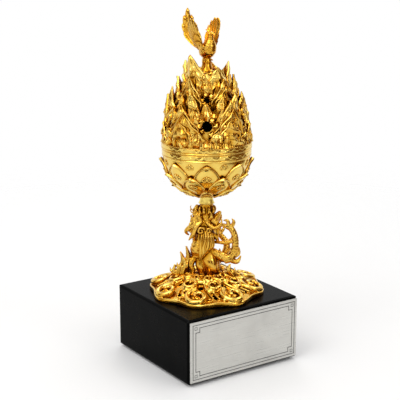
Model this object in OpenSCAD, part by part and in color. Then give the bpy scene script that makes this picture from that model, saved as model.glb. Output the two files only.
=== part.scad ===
// Gilt hill censer on a black plinth: lotus bowl, lift-off mountain lid with a
// bird finial, and a dragon stem on a pierced wave foot. Millimetres, +Z up.

/* [Plinth] */
// Side of the square wooden block
plinth_side = 70; // [66:1:90]
// Height of the wooden block
plinth_height = 35; // [26:1:60]
// Rounding of the block's edges
plinth_round = 1.5; // [0.5:0.25:3]
// Thickness of the felt under the block
felt_thickness = 1; // [0.5:0.25:3]
// Distance from the block's side to the felt
felt_inset = 3; // [2:0.5:8]

/* [Name plate] */
// Width of the metal plate
plate_width = 68.4; // [40:0.2:69]
// Height of the metal plate
plate_height = 32.4; // [12:0.2:33]
// Thickness of the metal plate
plate_thickness = 0.6; // [0.4:0.1:1.5]
// Distance from the block's top face down to the plate
plate_drop = 1.2; // [1:0.2:6]
// Thickness of the tape behind the plate
tape_thickness = 0.3; // [0.2:0.1:1]
// Distance from the plate's edge to the tape
tape_inset = 4; // [3:0.5:5]

/* [Fixings] */
// Thread diameter of the screw through the plinth
foot_screw_d = 4; // [3:0.5:5]
// Head diameter of that screw
foot_screw_head_d = 8; // [6:0.5:9]
// Head height of that screw
foot_screw_head_h = 3; // [2:0.25:4]
// Length of that screw's thread in the foot
foot_screw_grip = 6; // [4:0.5:7]
// Diameter of the washer under the head
foot_washer_d = 10; // [9.5:0.5:11]
// Thickness of that washer
foot_washer_t = 1; // [0.5:0.25:2]
// Diameter of the recess for the head
recess_d = 12; // [11.5:0.5:16]
// Depth of the recess for the head
recess_depth = 8; // [7:0.5:12]
// Thread diameter of the bolt through the bowl
bowl_bolt_d = 3; // [2:0.5:3.5]
// Head diameter of that bolt
bowl_bolt_head_d = 5.5; // [4:0.5:6.5]
// Head height of that bolt
bowl_bolt_head_h = 2; // [1:0.25:3]
// Length of that bolt's thread in the dragon
bowl_bolt_grip = 7; // [4:0.5:8]
// Diameter of the washer under that head
bowl_washer_d = 7; // [6.8:0.2:8]
// Thickness of that washer
bowl_washer_t = 0.6; // [0.4:0.1:1]
// Thread diameter of the finial's stud
stud_d = 3; // [2:0.5:3.5]
// Width across the corners of the stud's nut
nut_d = 6.4; // [5:0.2:7]
// Thickness of that nut
nut_t = 2.4; // [1.5:0.1:3]
// Radial gap round a thread or a shank
thread_gap = 0.05; // [0.02:0.01:0.2]
// Radial gap round a shank in wood
shank_gap = 0.25; // [0.1:0.05:0.5]

/* [Foot] */
// Radius of the foot's rim
foot_radius = 30.5; // [27:0.5:31]
// Height of the foot's hub above the plinth
foot_rise = 9; // [7.5:0.5:13]
// Thickness of the foot's wall
foot_wall = 1.8; // [1.2:0.1:2.5]
// Thickness of the foot's rim
foot_rim = 1.4; // [1:0.1:2]
// Radius of the flat hub that carries the dragon
hub_radius = 8; // [7:0.5:9]
// Number of wave scrolls round the foot
scroll_count = 8; // [6:1:9]
// Outer radius of a scroll
scroll_radius = 6.4; // [5:0.2:7]
// Radius of a scroll's bead at its thick end
scroll_bead = 2; // [1.4:0.1:2.2]
// Diameter of the larger piercings
piercing_d = 4; // [2:0.25:4.5]

/* [Dragon] */
// Height of the dragon from the hub to the neck tube
dragon_height = 40; // [36:1:48]
// Thickness of the dragon's body at its middle
dragon_girth = 9; // [7.5:0.25:10]

/* [Bowl] */
// Height of the plain tube between dragon and bowl
neck_height = 4.6; // [3.5:0.2:8]
// Radius of that tube at its waist
neck_radius = 3.6; // [3.2:0.1:4.5]
// How far the tube's ends flare past its waist
neck_flare = 0.7; // [0.3:0.1:1]
// Outside radius of the round bowl
bowl_radius = 23.2; // [21:0.2:26]
// Thickness of the bowl's wall
bowl_wall = 1.6; // [1.2:0.1:2.5]
// Height of the plain band at the bowl's mouth
bowl_band = 4; // [3:0.25:6]
// How far that band stands proud
band_proud = 0.4; // [0.2:0.1:0.8]
// Radius of the flat boss under the bowl
boss_radius = 4.6; // [4.4:0.1:5.5]
// Number of petals in each row
petal_count = 8; // [6:1:10]
// Thickness of a petal at the mouth's row
petal_step = 0.4; // [0.3:0.05:0.6]
// Height of a petal's raised border
petal_border = 0.35; // [0.2:0.05:0.5]

/* [Lid] */
// Height of the plain band at the lid's edge
lid_band = 3.4; // [2.5:0.2:5]
// Depth of the spigot that drops into the bowl
spigot_depth = 3.4; // [2:0.2:5]
// Thickness of the spigot's wall
spigot_wall = 1; // [0.8:0.1:1.5]
// Radial gap between the spigot and the bowl
lid_gap = 0.3; // [0.2:0.05:0.5]
// Outside radius of the dome at its foot
dome_radius = 21.2; // [19.5:0.2:22.4]
// Height of the dome above the lid's band
dome_height = 36; // [34:0.5:44]
// Thickness of the dome's wall
dome_wall = 1.4; // [1:0.1:2]
// Radius of the dome's flat top
dome_top_radius = 5.2; // [5:0.1:6]
// Height from one ring of peaks to the next
tier_rise = 7; // [6.4:0.1:7.2]
// Height of a full peak above its ring's foot
peak_height = 12; // [9:0.25:13]
// Thickness of a ring of peaks at its foot
peak_foot = 1; // [0.8:0.1:1.2]
// How far a full peak's tip stands off the dome
peak_lean = 0.8; // [0.4:0.1:1.6]
// Diameter of the lower smoke holes
smoke_hole_d = 5.5; // [3:0.25:5.75]
// Diameter of the upper smoke holes
upper_hole_d = 3; // [2:0.25:3.5]

/* [Bird] */
// Height of the flared pedestal under the bird
pedestal_height = 5.8; // [5:0.2:10]
// Radius of the pedestal at its foot
pedestal_radius = 4.6; // [4:0.1:4.8]
// Radius of the pedestal at its top
pedestal_top = 2.6; // [2.2:0.1:3]
// Length of a wing from its root
wing_length = 16.5; // [12:0.5:20]
// Thickness of a wing
wing_thickness = 0.9; // [0.6:0.1:1.4]
// Length of the raised tail, measured straight up
tail_rise = 21; // [16:0.5:26]

/* [Hidden] */
$fn = 64;
small_fn = 24;
sweep_sides = 8;
seat_gap = 0.03;
overcut = 1;

plinth_z = felt_thickness;
top_z = plinth_z + plinth_height;
hub_z = top_z + foot_rise;
neck_z = hub_z + dragon_height;
boss_z = neck_z + neck_height;
boss_drop = 0.5;
bowl_z = boss_z + boss_drop + sqrt(bowl_radius * bowl_radius - boss_radius * boss_radius);
mouth_rise = 2.6;
mouth_z = bowl_z + mouth_rise;
bowl_inner = bowl_radius - bowl_wall;
band_radius = bowl_radius + band_proud;
mouth_radius = sqrt(bowl_inner * bowl_inner - mouth_rise * mouth_rise);
spigot_radius = mouth_radius - lid_gap;
dome_z = mouth_z + lid_band;
dome_end = dome_z + dome_height;
bird_z = dome_end + pedestal_height;
bowl_floor_z = bowl_z - bowl_inner;
bowl_seat_z = bowl_floor_z + 0.8;

wood = [0.05, 0.05, 0.05];
gold = [0.86, 0.64, 0.18];
pale_gold = [0.92, 0.76, 0.34];
silver = [0.78, 0.78, 0.76];
steel = [0.6, 0.6, 0.62];
felt_green = [0.1, 0.16, 0.12];

// General helpers

function mix(a, b, t) = a + (b - a) * t;
function unit(v) = v / norm(v);
function place(v) = [v[0], v[1], v[2]];

// A point of the smooth curve through the knots, at t knots from its start.
function curve_at(knots, t) = let (
    last = len(knots) - 1,
    i = min(floor(t), last - 1),
    f = t - i,
    a = knots[max(i - 1, 0)], b = knots[i], c = knots[i + 1], d = knots[min(i + 2, last)]
) (2 * b + (c - a) * f + (2 * a - 5 * b + 4 * c - d) * f * f
    + (3 * b - a - 3 * c + d) * f * f * f) / 2;

function curve(knots, rings) = [
    for (i = [0 : rings]) curve_at(knots, i * (len(knots) - 1) / rings)
];

// A tapering bar along knots of [x, y, z, radius]; flat squeezes it along the
// direction of press, which is never along the route.
module bar(knots, rings, press = [0, 1, 0], flat = 1, sides = sweep_sides) {
    path = curve(knots, rings);
    last = len(path) - 1;
    points = [
        for (i = [0 : last]) let (
            t = unit(place(path[min(i + 1, last)]) - place(path[max(i - 1, 0)])),
            across = unit(cross(press, t)),
            up = cross(t, across)
        ) for (k = [0 : sides - 1]) let (a = 360 * k / sides)
            place(path[i]) + path[i][3] * (cos(a) * across + flat * sin(a) * up)
    ];
    first_tip = len(points);
    walls = [
        for (i = [0 : last - 1], k = [0 : sides - 1]) let (
            a = i * sides + k, b = i * sides + (k + 1) % sides
        ) each [[a, a + sides, b], [b, a + sides, b + sides]]
    ];
    ends = [
        for (k = [0 : sides - 1]) let (m = (k + 1) % sides)
            each [[first_tip, k, m], [first_tip + 1, last * sides + m, last * sides + k]]
    ];
    polyhedron(concat(points, [place(path[0]), place(path[last])]), concat(walls, ends));
}

// A closed ring made of one outline per step round the Z axis.
module ring_of(outlines) {
    steps = len(outlines);
    m = len(outlines[0]);
    polyhedron(
        [for (i = [0 : steps - 1], p = outlines[i]) let (a = 360 * i / steps)
            [p[0] * cos(a), p[0] * sin(a), p[1]]],
        [for (i = [0 : steps - 1], j = [0 : m - 1]) let (
            n = (i + 1) % steps, k = (j + 1) % m,
            a = i * m + j, b = i * m + k, c = n * m + j, d = n * m + k
        ) each [[a, b, c], [c, b, d]]]
    );
}

// A cut through a faceted skin keeps its facets; no size changes.
module faceted() resize([0, 0, 0]) children();

module rounded_square(side, round) {
    inner = side - 2 * round;
    square([inner, side], center = true);
    square([side, inner], center = true);
    for (x = [-1, 1], y = [-1, 1]) translate([x, y] * inner / 2) circle(round);
}

module headed_screw(d, length, head_d, head_h) {
    cylinder(d = d, h = length);
    translate([0, 0, -head_h]) cylinder(d = head_d, h = head_h);
}

module flat_washer(d, hole, t) {
    difference() {
        cylinder(d = d, h = t);
        translate([0, 0, -overcut]) cylinder(d = hole, h = t + 2 * overcut);
    }
}

// Plinth

module base_felt() color(felt_green)
    linear_extrude(felt_thickness) rounded_square(plinth_side - 2 * felt_inset, plinth_round);

module plinth_block() {
    mid = plinth_height / 2;
    intersection() {
        linear_extrude(plinth_height) rounded_square(plinth_side, plinth_round);
        for_side(mid) plinth_slab();
        rotate(90) for_side(mid) plinth_slab();
    }
}

module for_side(mid) translate([0, plinth_side, mid]) rotate([90, 0, 0]) children();

module plinth_slab() linear_extrude(2 * plinth_side) {
    flat = [plinth_side, plinth_height] - 2 * plinth_round * [1, 1];
    square([flat[0], plinth_height], center = true);
    square([plinth_side, flat[1]], center = true);
    for (x = [-1, 1], y = [-1, 1])
        translate([x * flat[0], y * flat[1]] / 2) circle(plinth_round);
}

module plinth() color(wood) translate([0, 0, plinth_z]) difference() {
    plinth_block();
    translate([0, 0, -overcut]) cylinder(d = recess_d, h = recess_depth + overcut);
    cylinder(d = foot_screw_d + 2 * shank_gap, h = plinth_height + overcut);
}

module plinth_washer() color(steel) translate([0, 0, plinth_z + recess_depth - foot_washer_t])
    flat_washer(foot_washer_d, foot_screw_d + 2 * shank_gap, foot_washer_t);

module plinth_screw() color(steel) {
    under_head = plinth_z + recess_depth - foot_washer_t;
    translate([0, 0, under_head])
        headed_screw(foot_screw_d, top_z + foot_screw_grip - under_head,
            foot_screw_head_d, foot_screw_head_h);
}

// Bare name plate on its tape

module front_sheet(width, height, inset, out, t)
    translate([-width / 2 + inset, -plinth_side / 2 - out - t,
        top_z - plate_drop - height + inset])
        cube([width - 2 * inset, t, height - 2 * inset]);

module plate_tape() color(steel)
    front_sheet(plate_width, plate_height, tape_inset, 0, tape_thickness);

module name_plate() color(silver)
    front_sheet(plate_width, plate_height, 0, tape_thickness, plate_thickness);

// Foot

foot_slope = [foot_radius - hub_radius, foot_rise - foot_rim];
foot_angle = atan2(foot_slope[1], foot_slope[0]);
piercing_rings = [[0.36, 0.75, 0], [0.68, 1, 0.5]];
scroll_orbit = foot_radius - scroll_radius + 1;

function foot_top(r) = top_z + foot_rise
    - max(0, r - hub_radius) * foot_slope[1] / foot_slope[0];

module foot_skin(lift) rotate_extrude() polygon([
    [0, top_z], [foot_radius + lift, top_z], [foot_radius + lift, top_z + foot_rim + lift],
    [hub_radius, hub_z + lift], [0, hub_z + lift]
]);

module foot() color(gold) difference() {
    foot_skin(0);
    rotate_extrude() polygon([
        [hub_radius, top_z - overcut],
        [foot_radius - foot_wall, top_z - overcut],
        [foot_radius - foot_wall, top_z],
        [hub_radius, foot_top(hub_radius) - foot_wall]
    ]);
    for (ring = piercing_rings, i = [0 : scroll_count - 1]) {
        r = mix(hub_radius, foot_radius, ring[0]);
        rotate(360 * (i + ring[2]) / scroll_count) translate([r, 0, foot_top(r)])
            rotate([0, foot_angle, 0])
                cylinder(d = piercing_d * ring[1], h = 4 * foot_wall, center = true, $fn = small_fn);
    }
    translate([0, 0, top_z - overcut])
        cylinder(d = foot_screw_d + 2 * thread_gap, h = foot_screw_grip + 2 * overcut);
}

// One wave: a bead that winds in from the rim to its eye.
module scroll() {
    turns = 1.3;
    steps = 11;
    knots = [for (i = [0 : steps]) let (
        t = i / steps, a = 200 + 360 * turns * t, r = mix(scroll_radius, 1.4, t)
    ) [r * cos(a), r * sin(a), 0.2 + 1.2 * t, mix(scroll_bead, 1.1, t)]];
    bar(knots, steps, press = [0, 0, 1], sides = 5);
}

module foot_scrolls() color(pale_gold) faceted() difference() {
    for (i = [0 : scroll_count - 1]) rotate(360 * i / scroll_count)
        translate([scroll_orbit, 0, foot_top(scroll_orbit) + 0.6])
            rotate([0, foot_angle, 0]) scroll();
    foot_skin(seat_gap, $fn = 96);
    translate([0, 0, top_z - 2 * scroll_radius + seat_gap])
        cylinder(r = 2 * foot_radius, h = 2 * scroll_radius, $fn = small_fn);
}

// Dragon stem: routes are drawn for a dragon this tall, then stretched

drawn_height = 40;
drawn_girth = 9;
dragon_turn = -34;

function stretched(knots) = [for (k = knots)
    [k[0], k[1], hub_z + k[2] * dragon_height / drawn_height, k[3]]];

module dragon_bar(knots, rings, flat = 1, sides = sweep_sides)
    bar(stretched(knots), rings, [0, 1, 0.2], flat, sides);

trunk = [
    [7.5, 4.5, 7, 0.36], [4, 5, 6.6, 0.42], [-1.5, 3.6, 8.2, 0.5], [-4, 0.8, 13, 0.54],
    [-2, 0, 20, 0.5], [0.5, 0.4, 27, 0.45], [0, 0, 34, 0.41], [0, 0, 38, 0.4],
    [0, 0, drawn_height, 0.4]
];

module dragon_trunk() dragon_bar(
    [for (k = trunk) [k[0], k[1], k[2], k[3] * dragon_girth]], 26, sides = 10);

module dragon_body() color(gold) difference() {
    rotate(dragon_turn) dragon_trunk();
    translate([0, 0, neck_z - bowl_bolt_grip - overcut])
        cylinder(d = bowl_bolt_d + 2 * thread_gap, h = bowl_bolt_grip + 2 * overcut);
}

module on_trunk() rotate(dragon_turn) difference() {
    union() children();
    dragon_trunk();
}

module jaws_and_horns() {
    dragon_bar([[-1.5, 0, 28, 3.4], [-4.2, -0.4, 32, 3], [-5.6, -0.5, 35.8, 1.9], [-4.8, -0.5, 39, 0.7]], 8);
    dragon_bar([[1.8, 0, 27, 3.3], [4.4, -0.3, 31, 2.3], [6.4, -0.3, 33.6, 1.4], [7.6, -0.3, 35.4, 0.5]], 8);
    for (y = [-1, 1]) {
        dragon_bar([[-3, y * 2.6, 31, 1.5], [-4, y * 3.2, 33.4, 1.3], [-3.2, y * 3, 35.4, 0.4]], 5, sides = 6);
        dragon_bar([[0, y * 2.6, 30, 1.3], [4, y * 5, 27.4, 1.1], [7.4, y * 5.4, 29.4, 0.8],
            [8.2, y * 4.8, 32.4, 0.3]], 8, sides = 6);
    }
}

module dragon_head() color(pale_gold) on_trunk() jaws_and_horns();

mane_strands = [
    [[-2.5, -2, 28, 1.7], [-8, -2.6, 27.6, 1.4], [-11, -2.2, 24.6, 1.1], [-9.4, -1.6, 22.4, 0.4]],
    [[-3, 1.6, 24, 1.6], [-7, 2.2, 22, 1.3], [-9.6, 2, 18.4, 0.4]],
    [[-1.5, -3.2, 26, 1.6], [-2.8, -5.2, 20, 1.4], [-2, -5.4, 14, 1.1], [-3.8, -4.8, 9.2, 0.4]],
    [[1.2, -3, 25, 1.5], [1.4, -5, 19, 1.3], [2.4, -4.6, 13, 0.4]],
    [[2.5, -1.4, 24, 1.4], [5.4, -2.2, 21, 1.1], [6.6, -2, 17.6, 0.4]],
    [[2, 2.6, 26, 1.6], [4.4, 5.4, 21, 1.4], [3.6, 6.8, 16, 0.5]]
];

module dragon_mane() color(gold) difference() {
    on_trunk() for (strand = mane_strands) dragon_bar(strand, 8, sides = 6);
    rotate(dragon_turn) {
        jaws_and_horns();
        raised_limb();
    }
}

module raised_limb() {
    dragon_bar([[-1, 0, 15, 2.4], [6, -1.4, 11.4, 2.5], [11.4, -2.2, 9.6, 2.3], [14.9, -2.4, 14, 2.1],
        [15.4, -2, 21, 1.9], [13.4, -1.6, 25.8, 1.8], [10.6, -1.6, 27, 1.2]], 18);
    dragon_bar([[11.4, -1.6, 26.8, 1.2], [8.4, -2, 28.2, 1], [6.6, -2, 26, 0.3]], 6, sides = 6);
    dragon_bar([[12, -1.6, 27, 1.2], [11.2, -2, 30.4, 1], [8.8, -2.2, 30.8, 0.3]], 6, sides = 6);
    dragon_bar([[13.2, -1.6, 26.6, 1.2], [14.6, -1.6, 29.6, 1], [13.4, -1.8, 31.8, 0.3]], 6, sides = 6);
    dragon_bar([[-1, 0, 18.4, 1], [6, -1.4, 18.4, 0.9], [14.6, -2, 19.4, 1]], 6, sides = 6);
    dragon_bar([[11.6, -2.2, 9.6, 1.8], [16.4, -1.6, 7.6, 1.4], [18.6, -1, 10.8, 0.3]], 6, sides = 6);
}

module dragon_raised_leg() color(pale_gold) on_trunk() raised_limb();

legs = [
    [[-7.2, -2.4, -1, 1.3], [-7.4, -2, 3, 1.4], [-8.2, -1.2, 7, 1.8], [-3.6, 0.6, 12, 2.2]],
    [[6.9, -2, -1, 1.2], [6.2, -1.6, 4, 1.2], [4.8, -1, 9.6, 1.4], [-1, 0.4, 14, 1.8]],
    [[2, 7.2, -1, 1.3], [3, 7.8, 3, 1.4], [3, 5, 7, 2]]
];
toe_angles = [-50, 0, 50];

module toes(at, heading) for (a = toe_angles)
    bar([for (t = [0 : 0.5 : 1]) [
        at[0] + 2.6 * t * cos(heading + a), at[1] + 2.6 * t * sin(heading + a),
        hub_z + mix(1.1, 0.1, t), mix(0.9, 0.35, t)]], 3, sides = 6);

module dragon_standing_legs() color(gold) difference() {
    on_trunk() for (leg = legs) {
        dragon_bar(leg, 10);
        toes(leg[0], atan2(leg[0][1], leg[0][0]));
    }
    rotate(dragon_turn) raised_limb();
    foot_skin(0);
}

module dragon_tail() color(gold) rotate(dragon_turn) difference() {
    union() {
        dragon_bar([[6.4, 4.8, 7, 2.6], [10, 6, 9.6, 2.2], [11, 8, 15, 1.8], [7, 9.4, 20, 1.5],
            [2.4, 9, 23.6, 1.1], [3.6, 7.6, 27.4, 0.3]], 16);
        dragon_bar([[10.6, 6.6, 11, 1.6], [14.4, 6, 12, 1.2], [15.6, 5.6, 16, 0.3]], 6, sides = 6);
    }
    dragon_trunk();
}

// Flames are drawn for a foot of this radius, then spread with it
drawn_foot = 29;

module foot_flames() color(pale_gold) rotate(dragon_turn) difference() {
    scale([foot_radius / drawn_foot, foot_radius / drawn_foot, 1]) {
        dragon_bar([[-13, -1, -5, 2.2], [-15, -1, 1, 1.9], [-12.6, -0.6, 7, 1.5], [-14, -0.4, 13, 0.3]], 8);
        dragon_bar([[-14.4, -1, -1, 1.6], [-17.6, -1.4, 1.6, 1.3], [-17, -1, 6, 0.3]], 6, sides = 6);
        dragon_bar([[12.6, -4, -6, 2.2], [14.4, -4.4, 0, 1.8], [12, -4.2, 4, 1.3], [13, -4, 7, 0.3]], 8);
    }
    foot_skin(0);
}

// Neck tube and bowl

module right_half() intersection() {
    children();
    translate([0, -500]) square([500, 1000]);
}

module neck_tube() color(gold) difference() {
    bulge = (neck_flare * neck_flare + neck_height * neck_height / 4) / (2 * neck_flare);
    translate([0, 0, neck_z]) rotate_extrude() difference() {
        square([neck_radius + neck_flare, neck_height]);
        translate([neck_radius + bulge, neck_height / 2]) circle(bulge);
    }
    translate([0, 0, neck_z - overcut])
        cylinder(d = bowl_bolt_d + 2 * shank_gap, h = neck_height + 2 * overcut);
}

module bowl() color(gold) difference() {
    rotate_extrude() right_half() difference() {
        union() {
            intersection() {
                translate([0, bowl_z]) circle(bowl_radius);
                translate([-500, mouth_z - 500]) square([1000, 500]);
            }
            translate([0, boss_z]) square([boss_radius, bowl_seat_z - boss_z]);
            translate([0, mouth_z - bowl_band]) square([band_radius, bowl_band]);
        }
        difference() {
            translate([0, bowl_z]) circle(bowl_inner);
            translate([0, bowl_seat_z - 10]) square([bowl_washer_d / 2 + 0.6, 10]);
        }
        translate([band_radius - groove, mouth_z - bowl_band + groove_drop]) square(2 * groove);
    }
    translate([0, 0, boss_z - overcut])
        cylinder(d = bowl_bolt_d + 2 * shank_gap, h = bowl_seat_z - boss_z + 2 * overcut);
}

module bowl_washer() color(steel) translate([0, 0, bowl_seat_z])
    flat_washer(bowl_washer_d, bowl_bolt_d + 2 * shank_gap, bowl_washer_t);

module bowl_bolt() color(steel) {
    under_head = bowl_seat_z + bowl_washer_t;
    translate([0, 0, under_head]) mirror([0, 0, 1])
        headed_screw(bowl_bolt_d, under_head - neck_z + bowl_bolt_grip,
            bowl_bolt_head_d, bowl_bolt_head_h);
}

// Petals: rows are listed from the mouth down, as
// [latitude of the widest place, latitude of the tip, turn in petals, gap to the next petal]
petal_rows = [[-34, -5, 0, 0.1], [-46, -21, 0.5, 0.15], [-62, -42, 0, 0.8]];
petal_turn = 236;
petal_gap = 0.1;
border_w = 0.9;

function petal_half(row) =
    bowl_radius * cos(petal_rows[row][0]) * sin(180 / petal_count) - petal_rows[row][3];

module petal_outline(row, inset) {
    reach = bowl_radius * sin(petal_rows[row][1] - petal_rows[row][0]) - 1.6 * inset;
    half = petal_half(row) - inset;
    r = (reach * reach + half * half) / (2 * half);
    intersection() {
        translate([r - half, 0]) circle(r);
        translate([half - r, 0]) circle(r);
    }
}

module face_row(row, turn) rotate(360 * turn / petal_count)
    rotate([0, 90 - petal_rows[row][0], 0]) children();

module petal_prism(from) rotate(90) translate([0, 0, from * bowl_radius])
    linear_extrude(bowl_radius / 2) children();

// A cap cut from the round skin that lies on the bowl
module skin_cap(t) rotate(40) rotate_extrude() difference() {
    intersection() {
        circle(bowl_radius + t);
        translate([0, bowl_radius / 2]) square(2 * bowl_radius);
    }
    circle(bowl_radius);
}

// One petal: a domed plate with a raised border, cut back where the row below laps it.
module petal(row) {
    t = petal_step * (row + 1);
    difference() {
        face_row(row, 0) {
            intersection() {
                petal_prism(0.75) petal_outline(row, 0);
                skin_cap(t);
            }
            intersection() {
                petal_prism(0.75) difference() {
                    petal_outline(row, 0);
                    petal_outline(row, border_w);
                }
                skin_cap(t + petal_border);
            }
        }
        for (below = [row + 1 : 1 : len(petal_rows) - 1], side = below == row + 1 ? [-0.5, 0.5] : [0])
            face_row(below, side) petal_prism(0.7) petal_outline(below, -petal_gap);
        if (row == len(petal_rows) - 1) translate([0, 0, -2 * bowl_radius])
            cylinder(r = boss_radius + petal_gap, h = 2 * bowl_radius);
    }
}

module petal_row(row) translate([0, 0, bowl_z]) for (i = [0 : petal_count - 1])
    rotate(petal_turn + 360 * (i + petal_rows[row][2]) / petal_count) petal(row);

module petals_upper() color(pale_gold) petal_row(0);
module petals_middle() color(pale_gold) petal_row(1);
module petals_lower() color(pale_gold) petal_row(2);

// Lid

groove = 0.3;
groove_drop = 0.6;
tier_ledge = 0.4;
dome_swell = 1.4;
dome_top_t = 2.4;
lid_proud = 0.3;

function tier_z(k) = dome_z + k * tier_rise;
function dome_at(z) = dome_top_radius + (dome_radius - dome_top_radius)
    * (1 - pow(min(1, max(0, z - dome_z) / dome_height), dome_swell));
function tier_r(k) = k < tier_count ? dome_at(tier_z(k)) : dome_top_radius;
function tier_end(k) = k < tier_count - 1 ? tier_z(k + 1) : dome_end;
tier_count = 5;

// Two rows of smoke holes, which open in gaps of the second and fourth ring:
// [ring, diameter, tilt from upright]
hole_rows = [[1, smoke_hole_d, 80], [3, upper_hole_d, 65]];
holes_in_row = 5;
hole_pitch = 360 / holes_in_row;
gap_sill = 1.2;
gap_side = 0.5;
hole_drop = 0.3;
hole_length = 12 * dome_wall;

module smoke_holes() for (row = hole_rows, i = [0 : holes_in_row - 1]) {
    r = tier_r(row[0]);
    rotate(petal_turn + hole_pitch * i)
        translate([r, 0, tier_z(row[0]) + gap_sill + row[1] / 2 - hole_drop])
            rotate([0, row[2], 0])
                cylinder(d = row[1], h = hole_length, center = true, $fn = small_fn);
}

// Half the width of the gap that a ring leaves for a smoke hole, or nothing
function gap_half(k) = max([0, for (row = hole_rows) if (row[0] == k) row[1] / 2 + gap_side]);
function off_hole(k, turn) = let (a = turn % hole_pitch)
    min(a, hole_pitch - a) * PI / 180 * tier_r(k);

module lid_dome() color(gold) difference() {
    rotate_extrude() polygon(concat(
        [for (k = [0 : tier_count - 1]) each [
            [tier_r(k), tier_z(k)], [tier_r(k + 1) + tier_ledge, tier_end(k)]]],
        [[dome_top_radius, dome_end], [0, dome_end], [0, dome_end - dome_top_t],
            [dome_top_radius - dome_wall, dome_end - dome_top_t]],
        [for (k = [tier_count - 1 : -1 : 0]) [tier_r(k) - dome_wall, tier_z(k)]]
    ));
    translate([0, 0, dome_end - dome_top_t - overcut])
        cylinder(d = stud_d + 2 * thread_gap, h = dome_top_t + 2 * overcut);
    smoke_holes();
}

// The collar reaches in far enough to carry the dome and the spigot
collar_inner = min(spigot_radius - spigot_wall, dome_radius - dome_wall);

module lid_collar() color(gold) rotate_extrude() difference() {
    union() {
        translate([spigot_radius - spigot_wall, mouth_z - spigot_depth])
            square([spigot_wall, spigot_depth + lid_band / 2]);
        translate([collar_inner, mouth_z])
            square([band_radius + lid_proud - collar_inner, lid_band]);
    }
    translate([band_radius + lid_proud - groove, mouth_z + groove_drop]) square(2 * groove);
}

// Rings of peaks: rings with smoke holes have broad peaks, whose valleys lie at the holes
peak_counts = [15, 5, 15, 5, 5];
peak_turns = [0, 0, 0.5, 0, 0];
// Places across one peak, from valley to valley
narrow_crest = [0, 0.3, 0.62, 0.56, 1, 0.68, 0.5, 0.22];
broad_crest = [0, 0.05, 0.18, 0.36, 0.32, 0.55, 0.78, 0.7, 1, 0.76, 0.62, 0.68, 0.42, 0.26, 0.3, 0.08];
peak_crests = [narrow_crest, broad_crest, narrow_crest, broad_crest, narrow_crest];
// Shares of a full peak's height, taken in turn round a ring; peaks under a smoke hole are low
peak_shares = [[0.45, 1.1, 0.45], [1.25], [1, 1, 0.7], [1.1], [0.7, 0.75, 0.9, 1, 1.05]];
peak_bulge = 0.9;
valley_height = 4.4;
tip_thickness = 0.7;
top_peak_extra = 3;

function peak_section(k, i) = let (
    places = len(peak_crests[k]),
    s = peak_crests[k][i % places],
    number = floor(i / places),
    share = peak_shares[k][number % len(peak_shares[k])],
    tall = share * peak_height * (1 + 0.1 * sin(number * 137.5 + k * 70))
        + (k == tier_count - 1 ? top_peak_extra : 0),
    turn = 360 * (i / places + peak_turns[k]) / peak_counts[k],
    rise = off_hole(k, turn) < gap_half(k) ? gap_sill : mix(valley_height, tall, s),
    ridge = peak_bulge * (1 - abs(2 * (i % places) / places - 1)),
    z = tier_z(k), r = tier_r(k),
    back_z = min(tier_end(k) - 0.15, z + rise - 0.8),
    wall = mix(r, tier_r(k + 1) + tier_ledge, (back_z - z) / (tier_end(k) - z)) + seat_gap,
    tip = r + mix(peak_foot, peak_lean, s) + ridge * 0.4,
    clear = tier_r(k + 1) + peak_foot + peak_bulge + 0.3,
    back = max(wall + 0.1, min(clear, tip - tip_thickness - 0.05))
) [
    [r + seat_gap, z], [wall, back_z], [back, back_z],
    [tip - tip_thickness, z + rise - 0.15], [tip, z + rise],
    [r + peak_foot + ridge, z + 0.45 * rise], [r + peak_foot + 0.5 * ridge, z]
];

module peak_ring(k) rotate(petal_turn + 360 * peak_turns[k] / peak_counts[k])
    ring_of([for (i = [0 : peak_counts[k] * len(peak_crests[k]) - 1]) peak_section(k, i)]);

module peaks_tier_1() color(gold) peak_ring(0);
module peaks_tier_2() color(pale_gold) peak_ring(1);
module peaks_tier_3() color(gold) peak_ring(2);
module peaks_tier_4() color(pale_gold) peak_ring(3);
module peaks_tier_5() color(gold) peak_ring(4);

// Finial and bird

peg_d = 2.4;
peg_length = 3;
stud_length = dome_top_t + nut_t + 1;
pedestal_lip = 0.8;

module finial_nut() color(steel) translate([0, 0, dome_end - dome_top_t - nut_t]) difference() {
    cylinder(d = nut_d, h = nut_t, $fn = 6);
    translate([0, 0, -overcut]) cylinder(d = stud_d + 2 * thread_gap, h = nut_t + 2 * overcut);
}

module finial_pedestal() color(gold) {
    step = pedestal_radius - pedestal_top;
    drop = pedestal_height - pedestal_lip;
    curve_r = (step * step + drop * drop) / (2 * step);
    translate([0, 0, dome_end]) rotate_extrude() difference() {
        square([pedestal_radius, pedestal_height]);
        translate([pedestal_top + curve_r, pedestal_height]) circle(curve_r);
    }
    translate([0, 0, dome_end - stud_length]) cylinder(d = stud_d, h = stud_length + overcut);
    translate([0, 0, bird_z - overcut]) cylinder(d = peg_d, h = peg_length + overcut);
}

bird_spine = [
    [0, 4.6, 6.4, 1.2], [0, 2, 5, 3], [0, -1, 5.2, 3.5], [0, -2.8, 8, 2.7], [0, -3, 11.2, 1.5],
    [0, -3.4, 13.6, 1.6], [0, -5, 14.2, 0.9], [0, -7, 13.6, 0.2]
];

module bird_bulk() translate([0, 0, bird_z]) {
    bar(bird_spine, 20, press = [1, 0, 0], sides = 10);
    bar([[0, -3.2, 14.4, 0.7], [0, -2.2, 16.6, 0.6], [0, -0.4, 17.4, 0.15]], 5, press = [1, 0, 0], sides = 6);
}

module bird_body() color(gold) difference() {
    union() {
        bird_bulk();
        translate([0, 0, bird_z]) cylinder(r = pedestal_top, h = 4);
    }
    translate([0, 0, bird_z - overcut]) cylinder(d = peg_d + 2 * thread_gap, h = peg_length + overcut + 0.2);
}

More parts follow.
